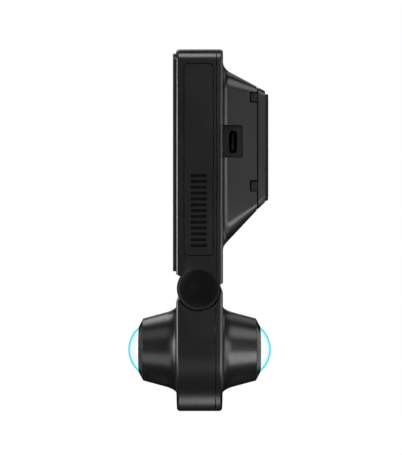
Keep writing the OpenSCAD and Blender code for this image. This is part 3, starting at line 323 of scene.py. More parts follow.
shellLook = {
    "colour": "#0b0b0c", "paler": "#0f0f10", "drift": 14,   # the tones drift over 14 mm
    "grain": 0.3,              # such a grain is about 0.1 mm; it is drawn coarser so that it shows
    "grainDepth": 0.02, "grainHeight": 0.02,
    "edge": 0.05, "edgeColour": "#1c1c1d", "wear": 0.4,
    "wornFrom": 0.98, "wornTo": 0.75,     # how far an edge turns before it is worn in full
    "roughness": 0.3, "uneven": 0.02, "ior": 1.5, "specular": 0.5,
}
panelLook = dict(shellLook, colour="#0a0a0b", paler="#0d0d0e", roughness=0.32, edge=0.03)
bracketLook = dict(shellLook, colour="#0d0d0e", paler="#111112", roughness=0.34, grain=0.4)
portLook = dict(shellLook, colour="#090909", paler="#0c0c0c", roughness=0.36, specular=0.4)
ringLook = dict(shellLook, colour="#0f0e0e", paler="#121111", roughness=0.22)
mattLook = dict(shellLook, colour="#08080a", paler="#0b0b0c", roughness=0.7, specular=0.25)
# painted shade: a near black, nearly gleamless finish for the sunk hinge ring and the wedge's
# crease, where shade falls
recessShadeLook = dict(mattLook, colour="#050506", paler="#070707", edgeColour="#09090a", roughness=0.45,
                 specular=0.07)
groundLook = dict(shellLook, colour="#0b0b0c", paler="#0e0e0f", edgeColour="#131314", roughness=0.4,
                  grainDepth=0.05, edge=0.03, specular=0.3)
tongueLook = dict(mattLook, colour="#050506", paler="#070708", edgeColour="#0a0a0b", specular=0.1)
# painted shade for the seam faces: black and without gleam, as the shadow in the gap
seamShadeLook = dict(mattLook, colour="#040404", paler="#050505", edgeColour="#060606", roughness=0.9,
                specular=0)
footLook = dict(shellLook, roughness=0.34, specular=0.28)
frameLook = dict(shellLook, colour="#303032", paler="#38383a", roughness=0.5)


def blackPrintedGlass():
    # tempered glass printed black behind: a deep mirror gloss with a faint display area
    look = {"print": "#040405", "display": "#07080b", "halfWidth": 20.6, "low": -38.5,
            "high": 31.8, "blur": 0.1, "smudge": 22, "polish": (0.03, 0.09), "ior": 1.5}
    material, tree = blank("blackPrintedGlass")
    place = add(tree, "ShaderNodeTexCoord").outputs["Object"]
    axes = add(tree, "ShaderNodeSeparateXYZ", links={"Vector": place})
    side = add(tree, "ShaderNodeMath", {"operation": "ABSOLUTE"}, {0: axes.outputs["Y"]})
    inWidth = add(tree, "ShaderNodeMapRange",
                  {"From Min": (look["halfWidth"] + look["blur"]) * mm,
                   "From Max": (look["halfWidth"] - look["blur"]) * mm},
                  {"Value": side.outputs[0]})
    middle = (look["low"] + look["high"]) / 2
    height = add(tree, "ShaderNodeMath", {"operation": "SUBTRACT", 1: middle * mm},
                 {0: axes.outputs["Z"]})
    height = add(tree, "ShaderNodeMath", {"operation": "ABSOLUTE"}, {0: height.outputs[0]})
    half = (look["high"] - look["low"]) / 2
    inHeight = add(tree, "ShaderNodeMapRange",
                   {"From Min": (half + look["blur"]) * mm,
                    "From Max": (half - look["blur"]) * mm},
                   {"Value": height.outputs[0]})
    lit = add(tree, "ShaderNodeMath", {"operation": "MULTIPLY"},
              {0: inWidth.outputs[0], 1: inHeight.outputs[0]})
    tone = add(tree, "ShaderNodeMixRGB",
               {"Color1": linear(look["print"]), "Color2": linear(look["display"])},
               {"Fac": lit.outputs[0]})
    smear = add(tree, "ShaderNodeTexNoise", {"Scale": 1 / (look["smudge"] * mm), "Detail": 4},
                {"Vector": place})
    gloss = add(tree, "ShaderNodeMapRange",
                {"To Min": look["polish"][0], "To Max": look["polish"][1]},
                {"Value": smear.outputs["Fac"]})
    glass = add(tree, "ShaderNodeBsdfPrincipled", {"IOR": look["ior"]},
                {"Base Color": tone.outputs[0], "Roughness": gloss.outputs[0]})
    finished(tree, glass.outputs[0])
    return material


def coatedGlass(name, tints, mirrorShare):
    # polished glass with a thin coating: clear when faced, and blue-green at a graze
    look = {"wave": 6, "polish": (0.01, 0.03), "heldUpTo": 0.2}
    material, tree = blank(name)
    place = add(tree, "ShaderNodeTexCoord").outputs["Object"]
    wave = add(tree, "ShaderNodeTexNoise", {"Scale": 1 / (look["wave"] * mm), "Detail": 1},
               {"Vector": place})
    gloss = add(tree, "ShaderNodeMapRange",
                {"To Min": look["polish"][0], "To Max": look["polish"][1]},
                {"Value": wave.outputs["Fac"]})
    weight = add(tree, "ShaderNodeLayerWeight", {"Blend": 0.5})
    ramp = add(tree, "ShaderNodeValToRGB", links={"Fac": weight.outputs["Facing"]})
    stops = ramp.color_ramp.elements
    stops[0].position, stops[0].color = tints[0][0], linear(tints[0][1])
    stops[1].position, stops[1].color = tints[-1][0], linear(tints[-1][1])
    for position, colour in tints[1:-1]:
        stops.new(position).color = linear(colour)
    through = add(tree, "ShaderNodeBsdfTransparent", links={"Color": ramp.outputs[0]})
    mirror = add(tree, "ShaderNodeBsdfGlossy",
                 links={"Color": ramp.outputs[0], "Roughness": gloss.outputs[0]})
    # the coating holds the mirror back, also towards the rim
    share = add(tree, "ShaderNodeMapRange",
                {"From Min": look["heldUpTo"], "To Min": mirrorShare[0],
                 "To Max": mirrorShare[1]}, {"Value": weight.outputs["Facing"]})
    mixed = add(tree, "ShaderNodeMixShader",
                links={0: share.outputs[0], 1: through.outputs[0], 2: mirror.outputs[0]})
    finished(tree, mixed.outputs[0])
    return material


def polishedLens():
    # a coated element seen from outside: black depth under a coloured reflection
    look = {"depth": "#040508", "tint": "#123038", "dust": 1.5, "polish": (0.02, 0.05),
            "ior": 1.7, "film": 105, "filmIor": 1.38}
    material, tree = blank("polishedLens")
    place = add(tree, "ShaderNodeTexCoord").outputs["Object"]
    dust = add(tree, "ShaderNodeTexNoise", {"Scale": 1 / (look["dust"] * mm), "Detail": 2},
               {"Vector": place})
    gloss = add(tree, "ShaderNodeMapRange",
                {"To Min": look["polish"][0], "To Max": look["polish"][1]},
                {"Value": dust.outputs["Fac"]})
    weight = add(tree, "ShaderNodeLayerWeight", {"Blend": 0.4})
    tone = add(tree, "ShaderNodeMixRGB",
               {"Color1": linear(look["depth"]), "Color2": linear(look["tint"])},
               {"Fac": weight.outputs["Facing"]})
    glass = add(tree, "ShaderNodeBsdfPrincipled",
                {"IOR": look["ior"], "Thin Film Thickness": look["film"],
                 "Thin Film IOR": look["filmIor"]},
                {"Base Color": tone.outputs[0], "Roughness": gloss.outputs[0]})
    finished(tree, glass.outputs[0])
    return material


waveLength = 0.314   # of Blender's wave texture at a scale of 1


def spunAluminium():
    # aluminium, spun and coated black: fine rings round the hinge axis that fan the light out
    look = {"colour": "#050506", "paler": "#080809", "pitch": 0.36, "ringHeight": 0.03,
            "roughness": 0.34, "ior": 1.45, "specular": 0.12}
    material, tree = blank("spunAluminium")
    place = add(tree, "ShaderNodeTexCoord").outputs["Object"]
    low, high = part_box("hinge_disc_near")
    hinge = ((low.x + high.x) / 2, 0, (low.z + high.z) / 2)
    centred = add(tree, "ShaderNodeVectorMath", {"operation": "SUBTRACT", 1: hinge}, {0: place})
    rings = add(tree, "ShaderNodeTexWave",
                {"wave_type": "RINGS", "rings_direction": "Y",
                 "Scale": waveLength / (look["pitch"] * mm), "Distortion": 0.4, "Detail": 2},
                {"Vector": centred.outputs[0]})
    bump = add(tree, "ShaderNodeBump", {"Strength": 0.2, "Distance": look["ringHeight"] * mm},
               {"Height": rings.outputs["Fac"]})
    tone = add(tree, "ShaderNodeMixRGB",
               {"Color1": linear(look["colour"]), "Color2": linear(look["paler"])},
               {"Fac": rings.outputs["Fac"]})
    metal = add(tree, "ShaderNodeBsdfPrincipled",
                {"Roughness": look["roughness"], "IOR": look["ior"],
                 "Specular IOR Level": look["specular"]},
                {"Base Color": tone.outputs[0], "Normal": bump.outputs[0]})
    finished(tree, metal.outputs[0])
    return material


def grainedMetal(name, look):
    # drawn, turned or plated metal: fine lines along one axis break up its mirror
    material, tree = blank(name)
    place = add(tree, "ShaderNodeTexCoord").outputs["Object"]
    stretch = add(tree, "ShaderNodeMapping", {"Scale": look["stretch"]}, {"Vector": place})
    lines = add(tree, "ShaderNodeTexNoise", {"Scale": 1 / (look["grain"] * mm), "Detail": 3},
                {"Vector": stretch.outputs[0]})
    bump = add(tree, "ShaderNodeBump", {"Strength": 0.12, "Distance": look["lineHeight"] * mm},
               {"Height": lines.outputs["Fac"]})
    tone = add(tree, "ShaderNodeMixRGB",
               {"Color1": linear(look["colour"]), "Color2": linear(look["paler"])},
               {"Fac": lines.outputs["Fac"]})
    gloss = add(tree, "ShaderNodeMapRange",
                {"To Min": look["roughness"] - look["smoother"],
                 "To Max": look["roughness"] + look["rougher"]},
                {"Value": lines.outputs["Fac"]})
    metal = add(tree, "ShaderNodeBsdfPrincipled", {"Metallic": look["metallic"]},
                {"Base Color": tone.outputs[0], "Roughness": gloss.outputs[0],
                 "Normal": bump.outputs[0]})
    finished(tree, metal.outputs[0])
    return material


def speckled(name, cell, depth, colour, paler, roughness, ior):
    # foam, rubber, resin, ceramic or film: two close tones in a cell or grit of a real size
    cellHeight = 0.05
    material, tree = blank(name)
    place = add(tree, "ShaderNodeTexCoord").outputs["Object"]
    cells = add(tree, "ShaderNodeTexVoronoi", {"Scale": 1 / (cell * mm)}, {"Vector": place})
    bump = add(tree, "ShaderNodeBump", {"Strength": depth, "Distance": cellHeight * mm},
               {"Height": cells.outputs["Distance"]})
    tone = add(tree, "ShaderNodeMixRGB", {"Color1": linear(colour), "Color2": linear(paler)},
               {"Fac": cells.outputs["Distance"]})
    solid = add(tree, "ShaderNodeBsdfPrincipled", {"Roughness": roughness, "IOR": ior},
                {"Base Color": tone.outputs[0], "Normal": bump.outputs[0]})
    finished(tree, solid.outputs[0])
    return material


def wovenGauze():
    # black polyester gauze: threads 0.35 mm apart, over and under, with dark holes between
    look = {"thread": 0.35, "threadHeight": 0.08, "colour": "#0d0d0e", "hole": "#020202",
            "roughness": 0.8, "specular": 0.2}
    material, tree = blank("wovenGauze")
    place = add(tree, "ShaderNodeTexCoord").outputs["Object"]
    heights = []
    for direction in ("X", "Z"):
        threads = add(tree, "ShaderNodeTexWave",
                      {"bands_direction": direction,
                       "Scale": waveLength / (look["thread"] * mm)}, {"Vector": place})
        heights.append(threads.outputs["Fac"])
    woven = add(tree, "ShaderNodeMath", {"operation": "MAXIMUM"},
                {0: heights[0], 1: heights[1]})
    bump = add(tree, "ShaderNodeBump", {"Strength": 0.6, "Distance": look["threadHeight"] * mm},
               {"Height": woven.outputs[0]})
    tone = add(tree, "ShaderNodeMixRGB",
               {"Color1": linear(look["hole"]), "Color2": linear(look["colour"])},
               {"Fac": woven.outputs[0]})
    cloth = add(tree, "ShaderNodeBsdfPrincipled",
                {"Roughness": look["roughness"], "Specular IOR Level": look["specular"]},
                {"Base Color": tone.outputs[0], "Normal": bump.outputs[0]})
    finished(tree, cloth.outputs[0])
    return material


steelLook = {
    "colour": "#c2c3c6", "paler": "#d6d7d9", "roughness": 0.28, "metallic": 1.0,
    "smoother": 0.06, "rougher": 0.1,    # how far the lines take the roughness down and up
    "grain": 0.2, "lineHeight": 0.01, "stretch": (1, 0.08, 1),
}
# the blue-green that the coating turns to at a graze, from faced to edge-on
domeTints = [(0.25, "#ffffff"), (0.5, "#fdffff"), (0.57, "#f4fffe"), (0.65, "#defcfd"),
             (0.74, "#8cf0f8"), (0.86, "#58ecfa")]
slots = {
    "body_plastic": moulded("spark-erodedAbs", shellLook),           # satin, with soft highlights
    "panel_plastic": moulded("fineGrainedAbs", panelLook),           # a shade deeper and duller
    "bracket_plastic": moulded("glassFilledNylon", bracketLook),     # coarser and a little greyer
    "port_plastic": moulded("mouldedPbt", portLook),                 # dull, so the mouth is dark
    "ring_plastic": moulded("satinPolycarbonate", ringLook),         # a clearer gloss on the bevel
    "barrel_plastic": moulded("mattBarrelPolycarbonate", mattLook),  # soaks up stray light
    "frame_plastic": moulded("plainPolycarbonate", frameLook),       # plain grey, out of sight
    "display_glass": blackPrintedGlass(),
    "spun_disc": spunAluminium(),
    "dust_gauze": wovenGauze(),
    # a dark metal with a thin line of light on its lip
    "port_steel": grainedMetal("blackPlatedSteel",
                               dict(steelLook, colour="#1b1b1d", paler="#242427")),
    # bright, with its mirror blurred by the tool's marks
    "screw_steel": grainedMetal("turnedSteel", dict(steelLook, roughness=0.35)),
    # warm and pale, almost a mirror
    "nickel": grainedMetal("nickelPlate", dict(steelLook, colour="#cfc8bd", paler="#ddd6cb")),
    # near black, with a cold gleam
    "black_steel": grainedMetal("blackOxideSteel",
                                dict(steelLook, colour="#2a2a2c", paler="#36363a")),
    # pale, and streaked along the way it was drawn
    "sink_aluminium": grainedMetal("extrudedAluminium",
                                   dict(steelLook, colour="#d0d2d4", paler="#dfe0e2")),
    # yellow and softly lined
    "brass_parts": grainedMetal("turnedBrass",
                                dict(steelLook, colour="#c9a35a", paler="#dcb970")),
    "lens_glass": polishedLens(),
    "dome_glass": coatedGlass("coatedGlass", domeTints, (0.006, 0.04)),
}
# each: its name, cell size, how deep the cells look, two tones, roughness and IOR
grits = {
    "foam_pad": ("acrylicFoam", 0.35, 0.3, "#0c0c0c", "#121212", 0.85, 1.3),        # no gleam
    "seal_rubber": ("siliconeRubber", 0.3, 0.15, "#0b0b0b", "#101010", 0.6, 1.43),  # waxy
    "chip_resin": ("epoxyResin", 0.25, 0.2, "#141414", "#1c1c1c", 0.55, 1.55),      # fine grit
    "thermal_rubber": ("filledSilicone", 0.4, 0.3, "#8e98ab", "#9ea8b8", 0.8, 1.43),  # chalky
    "circuit_board": ("solderMask", 0.9, 0.1, "#0f4a2c", "#145a36", 0.35, 1.5),     # lacquered
    "capacitor_sleeve": ("shrinkSleeve", 1.2, 0.1, "#20305f", "#283a6c", 0.3, 1.54),  # tight film
    "patch_ceramic": ("firedCeramic", 0.3, 0.2, "#c8bfa8", "#d4ccb8", 0.6, 1.6),    # sandy
    "flex_film": ("polyimideFilm", 0.8, 0.1, "#a8641c", "#b8742a", 0.3, 1.7),       # clear amber
    "display_panel": ("displayCell", 0.4, 0.05, "#06070a", "#0a0b10", 0.15, 1.5),   # smooth black
    "sensor_glass": ("sensorSilicon", 0.5, 0.05, "#1a2530", "#243342", 0.12, 1.52),  # bluish gloss
}
for slot, grit in grits.items():
    slots[slot] = speckled(*grit)
# the dome's inner face and rim are left clear, so that it is tinted once only
clearGlass = coatedGlass("clearGlass", [(0.3, "#ffffff"), (0.9, "#fbffff")], (0.002, 0.006))
paintedShadeAbs = moulded("paintedShadeAbs", recessShadeLook)           # painted shade: near black and almost gleamless, for the sunk ring and the wedge's crease
deepErodedAbs = moulded("deepErodedAbs", footLook)          # a broader, weaker highlight
seamShadeAbs = moulded("seamShadeAbs", seamShadeLook)                      # painted shade in the seams: black even when the light grazes it
groundGlass = moulded("groundGlass", groundLook)            # the cover's edge, its mirror gone
tongueResin = moulded("tongueResin", tongueLook)            # hardly shows in the port's mouth
goldPlate = grainedMetal("goldPlate", dict(steelLook, colour="#d9a93f", paler="#e8bd5a"))

slotOf = {part["node"]: part["material_slot"] for part in frame["record"]["subparts"]}
for name, node in nodes.items():
    node.data.materials.clear()
    node.data.materials.append(slots[slotOf[name]])
nodes["usb_tongue"].data.materials[0] = tongueResin
print("materials made:", len(slots))


def piece(name, mesh, body, slot, *replaced):
    made = bpy.data.objects.new(name, mesh)
    bpy.context.scene.collection.objects.link(made)
    if not mesh.materials:
        mesh.materials.append(slots[slot])
    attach(made, body)
    if replaced:
        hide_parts(*replaced)
    return made


def filleted(points, radius, steps=4):
    # a closed outline with every corner turned into a small arc
    mostOfSide, straight = 0.45, math.radians(170)
    made = []
    for i, corner in enumerate(points):
        before, after = Vector(points[i - 1]), Vector(points[(i + 1) % len(points)])
        corner = Vector(corner)
        back, on = before - corner, after - corner
        angle = back.angle(on)
        reach = min(radius / math.tan(angle / 2), back.length * mostOfSide,
                    on.length * mostOfSide)
        if angle > straight:
            made.append(corner)
            continue
        bend = reach * math.tan(angle / 2)
        inward = (back.normalized() + on.normalized()).normalized()
        centre = corner + inward * math.hypot(reach, bend)
        first = (corner + back.normalized() * reach - centre).to_3d().normalized()
        last = (corner + on.normalized() * reach - centre).to_3d().normalized()
        for k in range(steps + 1):
            made.append(centre + first.slerp(last, k / steps).to_2d() * bend)
    return [tuple(p) for p in made]


# how close together points become one, and how short an edge goes
weld = {"turned": 1e-4, "sliver": 1e-5, "solid": 2e-3}


def turned(name, outline, axis, origin, facing=1, segments=128, crease=30, inner=None):
    # outline is (radius, distance) in mm, turned about X or Y through origin; the stretches that
    # inner lists take the second material
    bm = bmesh.new()
    loops = []
    for s in range(segments):
        angle = math.tau * s / segments
        across, up = math.cos(angle), math.sin(angle)
        loop = []
        for radius, distance in outline:
            if axis == "X":
                spot = (facing * distance, radius * across, radius * up)
            else:
                spot = (radius * across, facing * distance, radius * up)
            loop.append(bm.verts.new((Vector(spot) + Vector(origin)) * mm))
        loops.append(loop)
    for s in range(segments):
        here, there = loops[s], loops[(s + 1) % segments]
        for i in range(len(outline)):
            j = (i + 1) % len(outline)
            face = bm.faces.new((here[i], here[j], there[j], there[i]))
            face.material_index = 1 if inner and i in inner else 0
    bmesh.ops.remove_doubles(bm, verts=bm.verts, dist=weld["turned"] * mm)
    bmesh.ops.dissolve_degenerate(bm, edges=bm.edges, dist=weld["sliver"] * mm)
    bmesh.ops.recalc_face_normals(bm, faces=bm.faces)
    return shaded(meshFrom(bm, name), crease)


def smoothCopy(name, node, crease=28):
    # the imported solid's own shape, with its joined faces shaded as the curves they stand for
    bm = bmesh.new()
    bm.from_mesh(nodes[node].data)
    bmesh.ops.remove_doubles(bm, verts=bm.verts, dist=weld["solid"] * mm)
    mesh = meshFrom(bm, name)
    if "custom_normal" in mesh.attributes:
        mesh.attributes.remove(mesh.attributes["custom_normal"])
    return shaded(mesh, crease)


def repainted(mesh, base, other, picks):
    # the faces that picks says yes to take the other material, the rest keep the base
    if not mesh.materials:
        mesh.materials.append(base)
    mesh.materials.append(other)
    for face in mesh.polygons:
        if picks(face):
            face.material_index = len(mesh.materials) - 1
    return mesh


# the ring round each trim disc: its radii, its depth, and how near the side still counts as outside
hingeBevel = {"inner": 6.2, "outer": 7.3, "depth": 1.4, "near": 0.02}


def bevelPaintedShade(mesh):
    # painted shade: the sunk ring round each trim disc gets a near black, almost matt material that
    # stands for the recess's shade, so that the disc seems to float in it
    low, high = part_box("hinge_disc_near")
    centre = (low + high) / 2 / mm
    side = max(abs(v.co.y) for v in mesh.vertices) / mm

    def sunk(face):
        spot = face.center / mm
        away = math.hypot(spot.x - centre.x, spot.z - centre.z)
        return (hingeBevel["inner"] < away < hingeBevel["outer"]
                and side - hingeBevel["depth"] < abs(spot.y) < side - hingeBevel["near"])

    return repainted(mesh, slots["body_plastic"], paintedShadeAbs, sunk)


# the meeting edges of the shells are broken, and the faces in each seam are painted with shade, so
# that each seam reads as a fine dark line
seam = {
    "body": -20.32, "module": -20.55,   # where each seam's middle plane stands along X
    "gap": 0.2,                         # between the two shells
    "open": 0.06, "closed": 0.07,       # how far an edge goes back at a side, or out at an end
    "skin": 1.3,                        # how far in from the outside the edge reaches
    "near": 0.02, "band": 0.08,         # how close to its plane a point or a matt face lies
    "roundFrom": 0.85, "roundOver": 0.1,   # where the module's end starts, in shares of its radius
    "topOver": 3,                       # how far below its top the body's end starts
}


def brokenSeam(mesh, body, away):
    # pulls the outer edge of the seam face back; away is the way the shell lies from its seam.
    # Towards the top and the bottom the seam closes, so that no light comes through it
    low, high = ([pick(v.co[i] for v in mesh.vertices) for i in range(3)] for pick in (min, max))
    axis = (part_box("cabin_ring")[0].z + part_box("cabin_ring")[1].z) / 2
    plane = (seam[body] + away * seam["gap"] / 2) * mm
    for v in mesh.vertices:
        deep = min(v.co.y - low[1], high[1] - v.co.y)
        ending = 0
        if body == "module" and v.co.z < axis:
            radius = math.hypot(v.co.y, v.co.z - axis)
            deep = axis - low[2] - radius
            ending = ((axis - v.co.z) / radius - seam["roundFrom"]) / seam["roundOver"]
        elif body == "body":
            deep = min(deep, high[2] - v.co.z)
            ending = 1 - (high[2] - v.co.z) / (seam["topOver"] * mm)
        ending = min(max(ending, 0), 1)
        if abs(v.co.x - plane) < seam["near"] * mm and deep < seam["skin"] * mm:
            v.co.x += away * (seam["open"] * (1 - ending) - seam["closed"] * ending) * mm

    # the faces in the seam's plane take the painted-shade material, black like the shadow in the
    # gap
    def meets(face):
        return all(abs(mesh.vertices[i].co.x - plane) < seam["band"] * mm for i in face.vertices)

    return repainted(mesh, slots["body_plastic"], seamShadeAbs, meets)


# the foot's first step lies between low and high along X, and is at least that long
wedgeFoot = {"low": -17.76, "high": -17.49, "least": 0.1}


def footCreaseShade(mesh):
    # painted shade: the first step of the wedge's concave foot gets the near black painted-shade
    # material, a fine dark line where the crease starts
    def steps(face):
        along = [mesh.vertices[i].co.x / mm for i in face.vertices]
        return (min(along) > wedgeFoot["low"] and max(along) < wedgeFoot["high"]
                and max(along) - min(along) > wedgeFoot["least"])

    return repainted(mesh, slots["body_plastic"], paintedShadeAbs, steps)


# the radii round the lens axis between which the foot is dulled, on the cabin's side of plane
flareFoot = {"inner": 15.8, "outer": 18.3, "plane": -35.8}


def dullFoot(mesh):
    # the mould is eroded deeper round the foot of the cabin side's flare, which dulls its gleam
    low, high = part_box("cabin_ring")
    axis = (low + high) / 2 / mm

    def flares(face):
        spot = face.center / mm
        radius = math.hypot(spot.y - axis.y, spot.z - axis.z)
        return flareFoot["inner"] < radius < flareFoot["outer"] and spot.x < flareFoot["plane"]

    return repainted(mesh, slots["body_plastic"], deepErodedAbs, flares)


frontMesh = bevelPaintedShade(smoothCopy("frontShell", "front_housing"))
piece("frontShell", brokenSeam(frontMesh, "body", -1), "camera", "body_plastic", "front_housing")
backMesh = footCreaseShade(smoothCopy("backCoverShell", "back_cover"))
piece("backCoverShell", brokenSeam(backMesh, "body", 1), "camera", "body_plastic", "back_cover")
cabinMesh = brokenSeam(smoothCopy("cabinShell", "cabin_housing"), "module", -1)
piece("cabinShell", dullFoot(cabinMesh), "lens_module", "body_plastic", "cabin_housing")
roadMesh = brokenSeam(smoothCopy("roadShell", "road_housing"), "module", 1)
piece("roadShell", roadMesh, "lens_module", "body_plastic", "road_housing")
# the plate's bevel at the pad is flatter than the solid's, and so keeps out of the side light
plateRim = {"bevel": 0.4, "flatter": 0.32, "near": 0.02}
plateMesh = smoothCopy("bracketPlate", "mount_plate")
padFace = max(v.co.x for v in plateMesh.vertices)
for v in plateMesh.vertices:
    if abs(v.co.x - padFace + plateRim["bevel"] * mm) < plateRim["near"] * mm:
        v.co.x += plateRim["flatter"] * mm
piece("bracketPlate", plateMesh, "bracket", "bracket_plastic", "mount_plate")
print("shells smoothed")


# a panel's corner radius, how far its edge is broken, and how close a point lies to face and rim
panelEdge = {"corner": 1.7, "broken": 0.2, "nearFace": 0.01, "nearRim": 0.03}


def brokenPanel(mesh, side):
    # the panel's outer edge is broken all round, which leaves a shadow line in its recess
    face = side * max(abs(v.co.y) for v in mesh.vertices)
    rim = [v for v in mesh.vertices if abs(v.co.y - face) < panelEdge["nearFace"] * mm]
    low = Vector((min(v.co.x for v in rim), min(v.co.z for v in rim)))
    high = Vector((max(v.co.x for v in rim), max(v.co.z for v in rim)))
    centre, half = (low + high) / 2, (high - low) / 2
    corner = panelEdge["corner"] * mm
    for v in rim:
        spot = Vector((v.co.x, v.co.z)) - centre
        past = Vector((abs(spot.x) - half.x + corner, abs(spot.y) - half.y + corner))
        if min(past) > 0:
            out = past.normalized()
            inset = corner - past.length
        else:
            out = Vector((1, 0)) if past.x > past.y else Vector((0, 1))
            inset = corner - max(past)
        if inset < panelEdge["nearRim"] * mm:
            v.co.x -= math.copysign(out.x, spot.x) * panelEdge["broken"] * mm
            v.co.z -= math.copysign(out.y, spot.y) * panelEdge["broken"] * mm
    return mesh


for side, node, name in ((-1, "side_panel_near", "sidePanelNear"),
                         (1, "side_panel_far", "sidePanelFar")):
    piece(name, brokenPanel(smoothCopy(name, node), side), "camera", "panel_plastic", node)
print("panels edged")


def rimArc(edge, parts=6):
    # a quarter round rim, from edge deep with no inset to no depth with an inset of edge
    turns = [math.pi / 2 * k / parts for k in range(parts + 1)]
    return [(edge * (1 - math.sin(turn)), edge * (1 - math.cos(turn))) for turn in turns]


def roundedSlab(name, low, high, corner, profile, steps, crease=30):
    # a slab in the YZ plane; profile gives each ring's X and how far it lies inside the outline
    bm = bmesh.new()
    rings = []
    for x, inset in profile:
        ring = []
        for q in range(4):
            signY, signZ = (1, 1, -1, -1)[q], (1, -1, -1, 1)[q]
            cy = (high[1] if signY > 0 else low[1]) - signY * corner
            cz = (high[2] if signZ > 0 else low[2]) - signZ * corner
            for k in range(steps + 1):
                angle = math.pi / 2 * (k / steps)
                turn = (math.sin(angle), math.cos(angle)) if q % 2 == 0 else (
                    math.cos(angle), math.sin(angle))
                radius = corner - inset
                ring.append(bm.verts.new(Vector((x, cy + signY * radius * turn[0],
                                                 cz + signZ * radius * turn[1])) * mm))
        rings.append(ring)
    for here, there in zip(rings, rings[1:]):
        for i in range(len(here)):
            j = (i + 1) % len(here)
            bm.faces.new((here[i], here[j], there[j], there[i]))
    bm.faces.new(rings[0])
    bm.faces.new(rings[-1])
    bmesh.ops.recalc_face_normals(bm, faces=bm.faces)
    return shaded(meshFrom(bm, name), crease)


# the side of the glass and most of its rounded rim are ground; what faces the cabin more than
# the share in polished keeps its polish
coverGlass = {"corner": 3.1, "edge": 0.3, "steps": 10, "polished": 0.75}
low, high = (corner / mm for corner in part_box("display_glass"))
profile = [(low.x + deep, inset) for deep, inset in reversed(rimArc(coverGlass["edge"]))]
profile.append((high.x, 0))
glassMesh = roundedSlab("coverGlass", low, high, coverGlass["corner"], profile,
                        coverGlass["steps"])
repainted(glassMesh, slots["display_glass"], groundGlass,
          lambda face: abs(face.normal.x) < coverGlass["polished"])
piece("coverGlass", glassMesh, "camera", "display_glass", "display_glass")
print("display glazed")


# the pad's side is drawn in by belly over the share of its thickness from start to start + over
foamPad = {"corner": 3, "edge": 0.16, "belly": 0.05, "start": 0.1, "over": 0.7, "parts": 6,
           "steps": 12}
low, high = (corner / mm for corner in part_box("adhesive_pad"))
thick, parts = high.x - low.x, foamPad["parts"]
profile = [(low.x, 0)]
for k in range(parts + 1):
    profile.append((low.x + thick * (foamPad["start"] + foamPad["over"] * k / parts),
                    foamPad["belly"] * math.sin(math.pi * k / parts)))
profile += [(high.x - deep, inset) for deep, inset in rimArc(foamPad["edge"])]
piece("foamPad", roundedSlab("foamPad", low, high, foamPad["corner"], profile,
                             foamPad["steps"]), "bracket", "foam_pad", "adhesive_pad")
print("pad cut")


# a trim disc is dished inside its rim; core is the tiny hole that its middle closes up to
trimDisc = {"radius": 6.26, "dish": 0.06, "rim": 0.16, "slope": 0.1, "round": 0.05, "core": 0.02}
for side, node in ((-1, "hinge_disc_near"), (1, "hinge_disc_far")):
    low, high = (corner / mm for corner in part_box(node))
    centre = (low + high) / 2
    thick = high.y - low.y
    radius, core, dished = trimDisc["radius"], trimDisc["core"], thick / 2 - trimDisc["dish"]
    outline = filleted([(core, -thick / 2), (radius, -thick / 2), (radius, thick / 2),
                        (radius - trimDisc["rim"], thick / 2),
                        (radius - trimDisc["rim"] - trimDisc["slope"], dished),
                        (core, dished)], trimDisc["round"])
    name = "trimDiscNear" if side < 0 else "trimDiscFar"
    piece(name, turned(name, outline, "Y", centre, side), "camera", "spun_disc", node)
print("hinge trimmed")


def along(corners, facing):
    # where a box starts and ends on the way that its lens looks, in millimetres
    low, high = (corner / mm for corner in corners)
    return (low.x, high.x) if facing > 0 else (-high.x, -low.x)


def arc(radius, heart, end, steps, pole):
    # an outline's points round a sphere, from its pole to the angle end
    return [(max(radius * math.sin(end * k / steps), pole),
             heart + radius * math.cos(end * k / steps)) for k in range(steps + 1)]


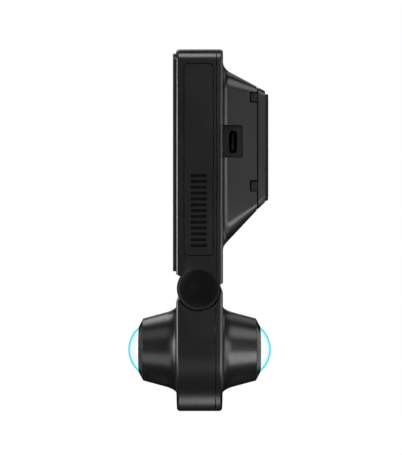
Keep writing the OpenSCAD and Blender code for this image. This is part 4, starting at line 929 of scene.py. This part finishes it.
ringTrim = {
    "outer": 12.36, "bore": 10.65, "lip": 9.21, "seat": 10.0, "fillet": 0.12,
    "height": 1.85, "wall": 0.15,         # the bevelled part stands that high, on a short wall
    "crown": (0.35, 0.81),                # how far out and up the bevel's bend lies
    "lipWidth": 0.15, "lipDepth": 1.35,
}
domeGlass = {"sphere": 11.57, "wall": 1.2, "edge": 9.9, "steps": 28, "pole": 0.005}
baffle = {"seat": 8.25, "count": 4, "pitch": 0.25, "rise": 0.14, "tread": 0.2, "lap": 0.05}
for prefix, facing in (("cabin", -1), ("road", 1)):
    ringBack, ringFront = along(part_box(prefix + "_ring"), facing)
    domeBack, apex = along(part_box(prefix + "_dome"), facing)
    barrelFront = along(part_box(prefix + "_barrel"), facing)[1]
    low, high = (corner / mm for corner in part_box(prefix + "_ring"))
    centre = (low + high) / 2
    centre.x = 0

    r = ringTrim
    foot = ringFront - r["height"]
    bend = ((r["outer"] + r["lip"]) / 2 + r["crown"][0], foot + r["crown"][1])
    outline = filleted([
        (r["seat"], ringBack), (r["bore"], ringBack), (r["bore"], foot), (r["outer"], foot),
        (r["outer"], foot + r["wall"]), bend, (r["lip"], ringFront),
        (r["lip"] - r["lipWidth"], ringFront), (r["seat"], ringFront - r["lipDepth"])],
        r["fillet"])
    name = prefix + "RingTrim"
    piece(name, turned(name, outline, "X", centre, facing), "lens_module", "ring_plastic",
          prefix + "_ring")

    # the dome: an outer and an inner sphere about one centre, cut off at the seal
    d = domeGlass
    heart, hollow = apex - d["sphere"], d["sphere"] - d["wall"]
    outer = arc(d["sphere"], heart, math.asin(d["edge"] / d["sphere"]), d["steps"], d["pole"])
    inner = arc(hollow, heart, math.acos((domeBack - heart) / hollow), d["steps"], d["pole"])
    outline = outer + [(d["edge"], domeBack)] + inner[::-1]
    name = prefix + "DomeGlass"
    mesh = turned(name, outline, "X", centre, facing,
                  inner=set(range(len(outer) - 1, len(outline))))
    mesh.materials.append(slots["dome_glass"])
    mesh.materials.append(clearGlass)
    piece(name, mesh, "lens_module", "dome_glass", prefix + "_dome")

    # stepped rings line the space between the dome and the first element
    b = baffle
    outline = [(b["seat"], barrelFront)]
    for k in range(b["count"]):
        radius, height = b["seat"] + b["pitch"] * k, barrelFront + b["rise"] * (k + 1)
        outline += [(radius, height), (radius + b["tread"], height)]
    outline.append((b["seat"] + b["pitch"] * b["count"] - b["lap"], barrelFront))
    name = prefix + "Baffle"
    piece(name, turned(name, outline, "X", centre, facing, segments=96, crease=20),
          "lens_module", "barrel_plastic")
print("turrets glazed")


# gold-plated strips on both sides of the charging port's tongue
contacts = {"count": 12, "pitch": 0.5, "width": 0.25, "start": 1.6, "length": 2.2, "proud": 0.03,
            "bevel": 0.02}
low, high = (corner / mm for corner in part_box("usb_tongue"))
bm = bmesh.new()
for side in (-1, 1):
    for k in range(contacts["count"]):
        up = (k - (contacts["count"] - 1) / 2) * contacts["pitch"] + (low.z + high.z) / 2
        face = high.x if side > 0 else low.x
        size = (contacts["proud"] * 2, contacts["length"], contacts["width"])
        spot = (face, low.y + contacts["start"] + contacts["length"] / 2, up)
        strip = bmesh.ops.create_cube(bm, size=1)["verts"]
        bmesh.ops.scale(bm, vec=Vector(size) * mm, verts=strip)
        bmesh.ops.translate(bm, vec=Vector(spot) * mm, verts=strip)
bmesh.ops.bevel(bm, geom=bm.edges, offset=contacts["bevel"] * mm, segments=2, affect="EDGES")
mesh = meshFrom(bm, "portContacts")
mesh.materials.append(goldPlate)
piece("portContacts", mesh, "camera", "brass_parts")
print("port pinned")
